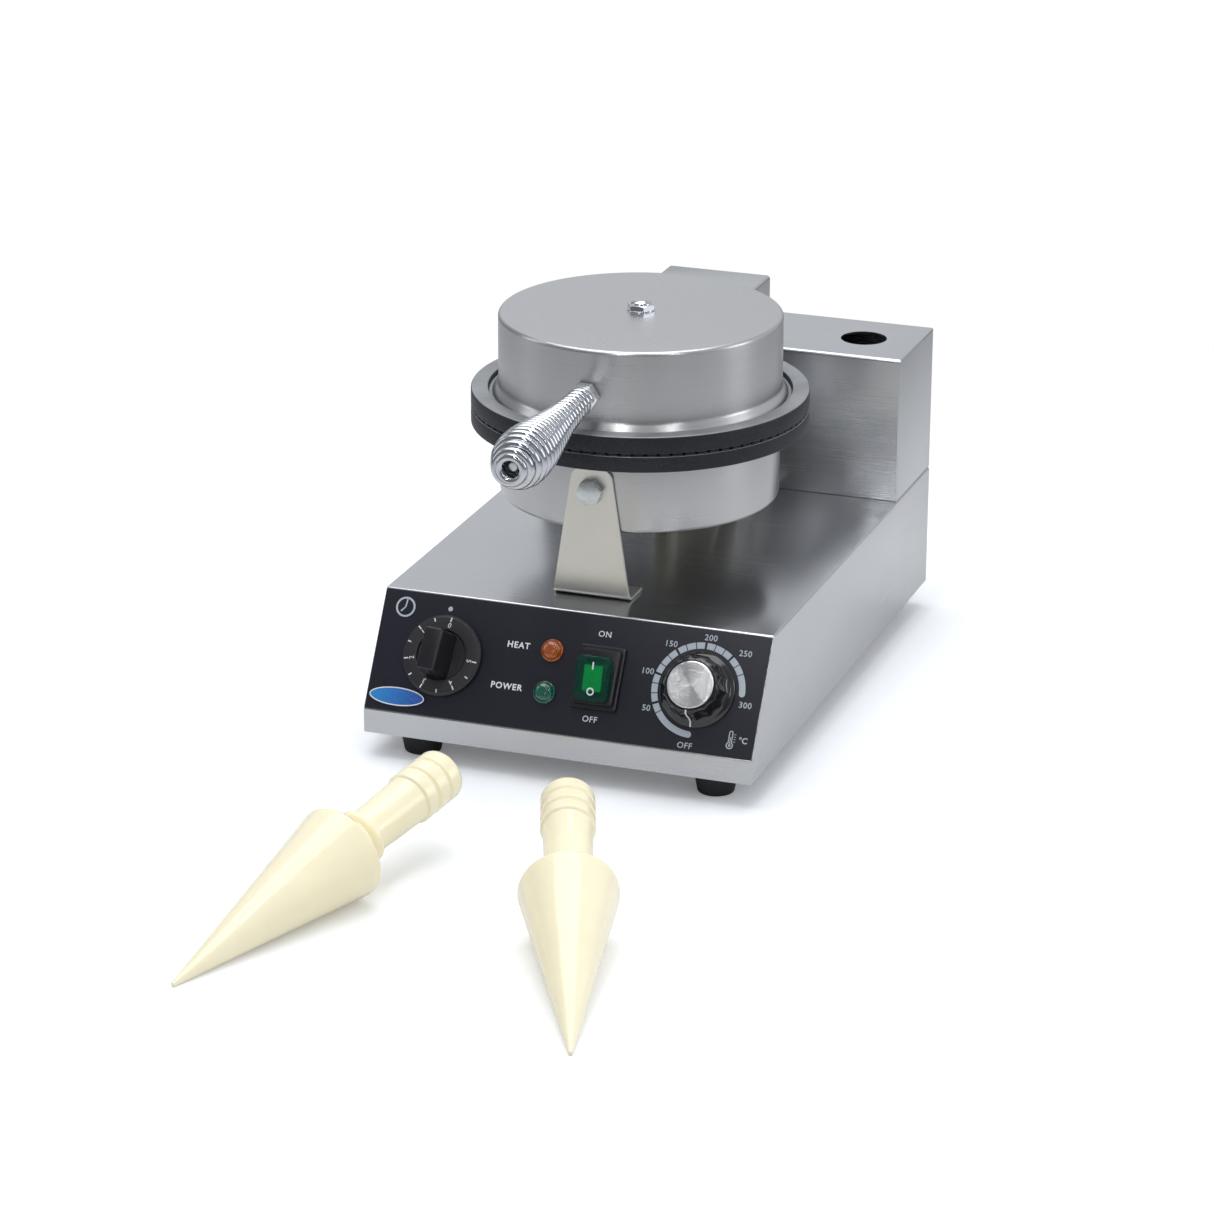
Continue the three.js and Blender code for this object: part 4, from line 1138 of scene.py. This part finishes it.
def timer_dial():
    """A matt skirt with a sunken centre and a high finger bar across it."""
    rim, well, low, top, sunk = 25.2, 15.2, 1.6, 5.2, 3.6
    skirt = Solid().turn([
        (0, low), (rim, low, 0.4), (rim, 3.4, 0.6), (rim - 1.6, top, 0.6), (well + 0.6, top, 0.5),
        (well, sunk, 0.4), (0, sunk),
    ], 96, steps=4)
    outline = rectangle(13.4, 27.4, 2.6)
    bar = Solid().stack([(outline, inset, z) for inset, z in (
        (-0.4, 3.4), (0.0, top), (0.25, 14.0), (0.6, 25.2), (0.85, 26.2), (1.3, 26.8), (1.9, 27.0),
    )], spun_by(math.radians(-3.5)))
    prints, ink_level = Solid(), top + 0.01
    for i in range(11):
        turn, whole = 6.7 - 27.18 * i, i % 2 == 0
        bar_mark(prints, polar(22.3, turn), 2.8 if whole else 2.2, 0.8, turn, ink_level)
        if whole:
            lettering(prints, str(i // 2), 3.1, *polar(18.6, turn), turn, 0.03, ink_level)
    spot = on_panel(TIMER)
    place("timer_skirt", "timer", dial_black, skirt, "timer_dial", spot)
    place("timer_finger_bar", "timer", black_plastic, bar, None, spot)
    place("timer_numbers", "timer", white_ink, prints, None, spot)


def thermostat_knob():
    """A glossy skirted knob with scalloped sides, an aluminium cap and a white pointer."""
    scallops, per_scallop = 14, 8

    def ring(radius, depth, z):
        return [spoke(radius - depth * math.sin(math.pi * (i % per_scallop) / per_scallop), a, z)
                for i, a in enumerate(angles(scallops * per_scallop))]

    knob = Solid().loft([ring(*level) for level in (
        (1.0, 0, 1.6), (22.8, 0, 1.6), (23.2, 0, 2.0), (23.2, 0, 3.0), (22.6, 0, 3.9), (21.2, 0, 4.6),
        (19.9, 0.2, 5.4), (19.2, 0.7, 6.8), (18.7, 1.0, 9.0), (18.2, 1.0, 13.0), (17.8, 0.9, 16.4),
        (17.2, 0.5, 17.6), (16.0, 0.1, 18.4), (15.0, 0, 18.6), (14.6, 0, 17.4), (1.0, 0, 17.4),
    )])
    cap = Solid().turn([
        (0, 17.5), (14.4, 17.5), (14.4, 19.1, 0.5), (13.5, 19.35, 0.3), (0, 19.2),
    ], 96, steps=3)
    line = ((15.5, 18.62), (16.8, 18.15), (17.55, 17.3), (17.9, 16.4), (18.35, 13.0), (18.85, 9.0),
            (19.35, 6.8), (20.2, 5.35), (21.4, 4.72), (22.9, 3.9))
    stroke = ((-0.45, -0.1), (0.45, -0.1), (0.45, 0.12), (-0.45, 0.12))
    pointer = Solid().loft([[Vector((x, -radius - lift, z + lift * 0.6)) for x, lift in stroke]
                            for radius, z in line])
    spot = on_panel(THERMOSTAT)
    place("temperature_knob", "thermostat", gloss_black, knob, "thermostat_knob", spot)
    place("temperature_knob_cap", "thermostat", cap_aluminium, cap, "knob_cap", spot)
    place("temperature_pointer", "thermostat", white_ink, pointer, None, spot)


def mains_switch():
    """A lit rocker under a soft see-through boot, both standing out at the ON end."""
    spot = on_panel(SWITCH)
    skirt, collar = rectangle(29.4, 39.2, 1.8), rectangle(26.4, 35.0, 3.0)
    bezel = Solid().stack([
        (skirt, 0.7, 1.1), (skirt, 0.2, 1.3), (skirt, 0.0, 1.8), (skirt, 0.0, 3.2),
        (skirt, 0.2, 3.7), (skirt, 0.7, 3.9), (collar, 0.0, 3.9), (collar, 0.4, 6.2),
        (collar, 0.8, 6.8), (collar, 1.5, 7.0),
    ])
    pocket = Solid().slab(rectangle(14, 21.6, 1), -6, 9)
    place("switch_frame", "base", black_plastic, carve("switch_frame", bezel, [pocket]),
          "switch_bezel", spot)
    tilt = spot @ at(0, 0, 2) @ Matrix.Rotation(math.radians(12), 4, "X")
    cover = Solid().slab(rectangle(21.8, 28.0, 4.6, 7), 8.3, 13.3, edge=1.5, steps=4)
    hollow = Solid().slab(rectangle(18.8, 25.0, 3.2, 6), 7.0, 12.5, edge=0.8)
    place("switch_boot", "rocker", boot, carve("switch_boot", cover, [hollow]), "switch_cover", tilt)
    rocker = Solid().slab(rectangle(12.6, 17.5, 1.0), -5, 11.7, edge=0.4)
    place("rocker_body", "rocker", rocker_green, rocker, "switch_rocker", tilt)
    window = Solid().slab(rectangle(11.6, 15.6, 0.5), 11.6, 12.0, edge=0.1)
    place("rocker_window", "rocker", window_green, window, None, tilt)
    marks, on_boot = Solid(), {"level": 13.3, "ink": 0.08}
    mark(marks, rectangle(0.95, 4.7, 0.3), 0, 7.6, **on_boot)
    two_arcs(marks, 1.95, 0.85, 0, 180, 0, -8.0, **on_boot)
    place("rocker_marks", "rocker", white_ink, marks, None, tilt)


def pilot_lamp(name, centre, material):
    lens = Solid().turn([
        (0, -6), (4.5, -6), (4.5, 1.1), (7.0, 1.1, 0.3), (7.0, 2.4, 0.7), (6.2, 2.9, 0.3),
        (6.0, 3.3, 0.4), (5.0, 4.9, 2.0), (2.8, 5.9, 3.0), (0, 6.1),
    ], 56, steps=4)
    place(f"{name}_dome", "base", material, lens, f"{name}_lens", on_panel(centre))


def badge():
    """A plain oval with a thin white rim."""
    oval, spot = ellipse(36, 11.6), on_panel(BADGE)
    plate = Solid().slab(oval, 1.1, 1.9, edge=0.35)
    place("badge_plate", "base", badge_blue, plate, "badge", spot)
    rim = Solid().slab(shrink(oval, 0.1), 1.86, 1.96)
    inner = Solid().slab(shrink(oval, 0.75), 1.7, 2.2)
    place("badge_rim", "base", white_ink, carve("badge_rim", rim, [inner]), None, spot)


def build_panel():
    sheet = Solid().slab(rectangle(248.4, 75.2, 0.8), 0.3, FOIL_TOP, edge=0.12,
                         matrix=at(0, -38.8, 0))
    place("printed_overlay", "base", foil, sheet, "control_panel", PANEL)
    badge()
    panel_prints()
    timer_dial()
    thermostat_knob()
    mains_switch()
    pilot_lamp("heat_lamp", HEAT_LAMP, amber)
    pilot_lamp("power_lamp", POWER_LAMP, green)


# ---- Cone formers ----

FORMER_LENGTH = 245.0
CONE_LENGTH = 148.5
CONE_RADIUS = 28.7
TIP_RADIUS = 1.6
TIP_HEIGHT = 2.0


def former_profile():
    """Half section of a former along its axis, from the tip to the end of the handle."""
    corners = [
        (0, 0), (1.3, 0.3, 0.8), (CONE_RADIUS, CONE_LENGTH, 1.6), (26.6, 151.4, 2.4),
        (13.0, 153.4, 1.4), (12.6, 155.4, 2.0), (14.2, 158.8, 3.0), (13.2, 163.4, 0.8),
        (16.6, 164.0, 1.8), (16.6, 168.9, 1.8), (13.2, 169.7, 1.0), (14.0, 186.0, 20.0),
        (14.6, 211.6, 0.5),
    ]
    for z in (212.2, 223.2):
        corners += [(16.0, z + 0.5, 1.0), (15.8, z + 8.6, 1.6), (14.4, z + 10.2, 0.5)]
    return corners + [(15.9, 234.7, 1.0), (15.7, 242.4, 1.2), (14.6, FORMER_LENGTH, 1.6),
                      (0, FORMER_LENGTH)]


def former(side, tip_x, tip_y, heading):
    """A cone on a handle, lying on the side of the cone."""
    slope = math.atan2(CONE_RADIUS - TIP_RADIUS, CONE_LENGTH - TIP_HEIGHT)
    turn, level = math.radians(heading), math.cos(slope)
    axis = Vector((math.sin(turn) * level, math.cos(turn) * level, math.sin(slope)))
    spin = Vector((0, 0, 1)).rotation_difference(axis).to_matrix().to_4x4()
    lift = (TIP_RADIUS / math.tan(slope) - TIP_HEIGHT) * math.sin(slope) + 0.02
    cone = Solid().turn(former_profile(), 96, at(tip_x, tip_y, lift) @ spin)
    place(f"cone_former_{side}_moulding", f"former_{side}", ivory, cone, f"cone_former_{side}")


# ---- Pieces that keep their CAD shape ----

def dress(material, *nodes):
    """Gives CAD pieces their material, and welds them for smooth shading."""
    for node in nodes:
        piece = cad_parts[node]
        piece.data.materials.clear()
        piece.data.materials.append(material)
        weld = piece.modifiers.new("weld", "WELD")
        weld.merge_threshold = 1e-6


def dress_the_rest():
    dress(sheet_steel, "bottom_plate")
    dress(zinc_plate, *(f"foot_screw_{corner}" for corner in CORNERS))
    dress(heater_steel, "lower_heater", "upper_heater")
    dress(mineral, "lower_insulation", "upper_insulation", "lower_lead_sleeve")
    dress(zinc_plate, "timer_body", "timer_shaft", "thermostat_body", "thermostat_shaft", "lid_stud")
    dress(black_plastic, "heat_lamp_body", "power_lamp_body", "terminal_block")
    dress(brass_metal, "thermostat_capillary")


# ---- Floor, light and camera ----

FLOOR_SIZE = 9000.0
FLOOR_DEPTH = 30
FLOOR_FADE = 0.5                     # how bright the far floor is in reflections
FLOOR_SEEN = (1.10, 1.13, 1.18)      # the floor's whiteness to the camera
ROOM = 0.24
LOBES = (                            # direction, cosine where it starts, strength
    ((1.0, 0.5, 0.2), 0.3, 0.52), ((-1.0, 0.3, 0.25), 0.3, 0.10),
    ((-0.34, 0.94, 0.38), 0.75, 0.48), ((-0.15, 0.2, 1.0), 0.6, 0.25),
)
LIGHTS = (                           # name, place, aim, width, height, power, colour
    ("overhead", (-250, 250, 1900), (0, 0, 0), 1900, 1500, 20.0, (1.0, 0.985, 0.96)),
    ("front_strip", (44, -1146, 1638), (0, 0, 100), 80, 2300, 6.5, (1, 1, 1)),
    ("side_strip", (885, -730, 1638), (0, 0, 100), 80, 2300, 5.0, (1, 1, 1)),
    ("left", (-1900, -300, 900), (0, 0, 120), 500, 1300, 2.5, (1, 1, 1)),
    ("right", (1900, 500, 700), (0, 0, 120), 700, 900, 4.0, (1, 1, 1)),
)
CAMERA_AZIMUTH = 19.55
CAMERA_ELEVATION = 20.344
CAMERA_ROLL = 0.283
CAMERA_DISTANCE = 2681.8
CAMERA_LENS = 131.74
CAMERA_AIM = Vector((18.72, PANEL_TOP_Y, 101.79))


def floor():
    """White paper; the camera sees it brighter than the metal does, as a cut-out photograph is."""
    n = Finish("floor_paper")
    distance = n.vector("LENGTH", n.point).outputs["Value"]
    paper = n.mix(n.band(n.noise(90.0), 0.0, 1.0), rgb(0.76, 0.77, 0.79), rgb(0.78, 0.79, 0.81))
    fade = n.band(distance, 1.0, FLOOR_FADE, 0.45, 1.3)
    n.set(Base_Color=n.mix(fade, rgb(0, 0, 0), paper), Roughness=0.9)
    near = n.add("BsdfDiffuse", {"Color": rgb(*FLOOR_SEEN)})
    far = n.add("Emission", {"Color": rgb(1, 1, 1), "Strength": 1.0})
    bright = n.mix_shader(n.band(distance, 0.12, 1.0, 0.35, 1.0), near, far)
    n.surface(n.mix_shader(n.seen(), n.shader, bright))
    slab = Solid().loft([[Vector((x * FLOOR_SIZE, y * FLOOR_SIZE, z)) for x, y in SQUARE]
                         for z in (-FLOOR_DEPTH, 0)])
    paper_sheet = linked("floor", slab.mesh("floor"))
    paper_sheet.data.materials.append(n.material)


def area_light(name, position, target, width, height, power, color):
    data = bpy.data.lights.new(name, "AREA")
    data.shape = "RECTANGLE"
    data.size = width * MM
    data.size_y = height * MM
    data.energy = power
    data.color = color
    light = linked(name, data)
    light.location = Vector(position) * MM
    aim = Vector(target) - Vector(position)
    light.rotation_euler = aim.to_track_quat("-Z", "Y").to_euler()


def studio_world():
    """White to the camera; to everything else a dim room with brighter quarters."""
    world = bpy.data.worlds.new("studio")
    bpy.context.scene.world = world
    n = Tree(world)
    n.tree.nodes.clear()
    direction = n.add("TexCoord").outputs["Generated"]
    total = ROOM
    for toward, start, strength in LOBES:
        near = n.vector("DOT_PRODUCT", direction, Vector(toward).normalized()).outputs["Value"]
        lobe = n.band(near, 0.0, strength, start, 1.0, interpolation_type="SMOOTHSTEP")
        total = n.math("ADD", lobe, total)
    room = n.add("Background", {"Color": rgb(0.93, 0.96, 1.0), "Strength": total})
    white = n.add("Background", {"Color": rgb(1.0, 1.0, 1.0)})
    n.add("OutputWorld", {"Surface": n.mix_shader(n.seen(), room, white)})


def camera():
    data = bpy.data.cameras.new("camera")
    data.lens = CAMERA_LENS
    data.sensor_width = 36.0
    data.clip_end = 100.0
    view = linked("camera", data)
    azimuth, elevation = math.radians(CAMERA_AZIMUTH), math.radians(CAMERA_ELEVATION)
    back = Vector((math.sin(azimuth) * math.cos(elevation), -math.cos(azimuth) * math.cos(elevation),
                   math.sin(elevation)))
    view.location = (CAMERA_AIM + back * CAMERA_DISTANCE) * MM
    turn = back.to_track_quat("Z", "Y").to_matrix()
    view.rotation_euler = (turn @ Matrix.Rotation(math.radians(CAMERA_ROLL), 3, "Z")).to_euler()
    bpy.context.scene.camera = view


# ---- The scene ----

build_base()
build_lower_iron()
build_lid()
build_hinge()
build_panel()
former("left", -94.75, PANEL_TOP_Y - 383.4, 16.0)
former("right", 137.45, PANEL_TOP_Y - 388.0, -20.5)
dress_the_rest()
floor()
studio_world()
for row in LIGHTS:
    area_light(*row)
camera()
bpy.context.scene.view_settings.view_transform = "Standard"
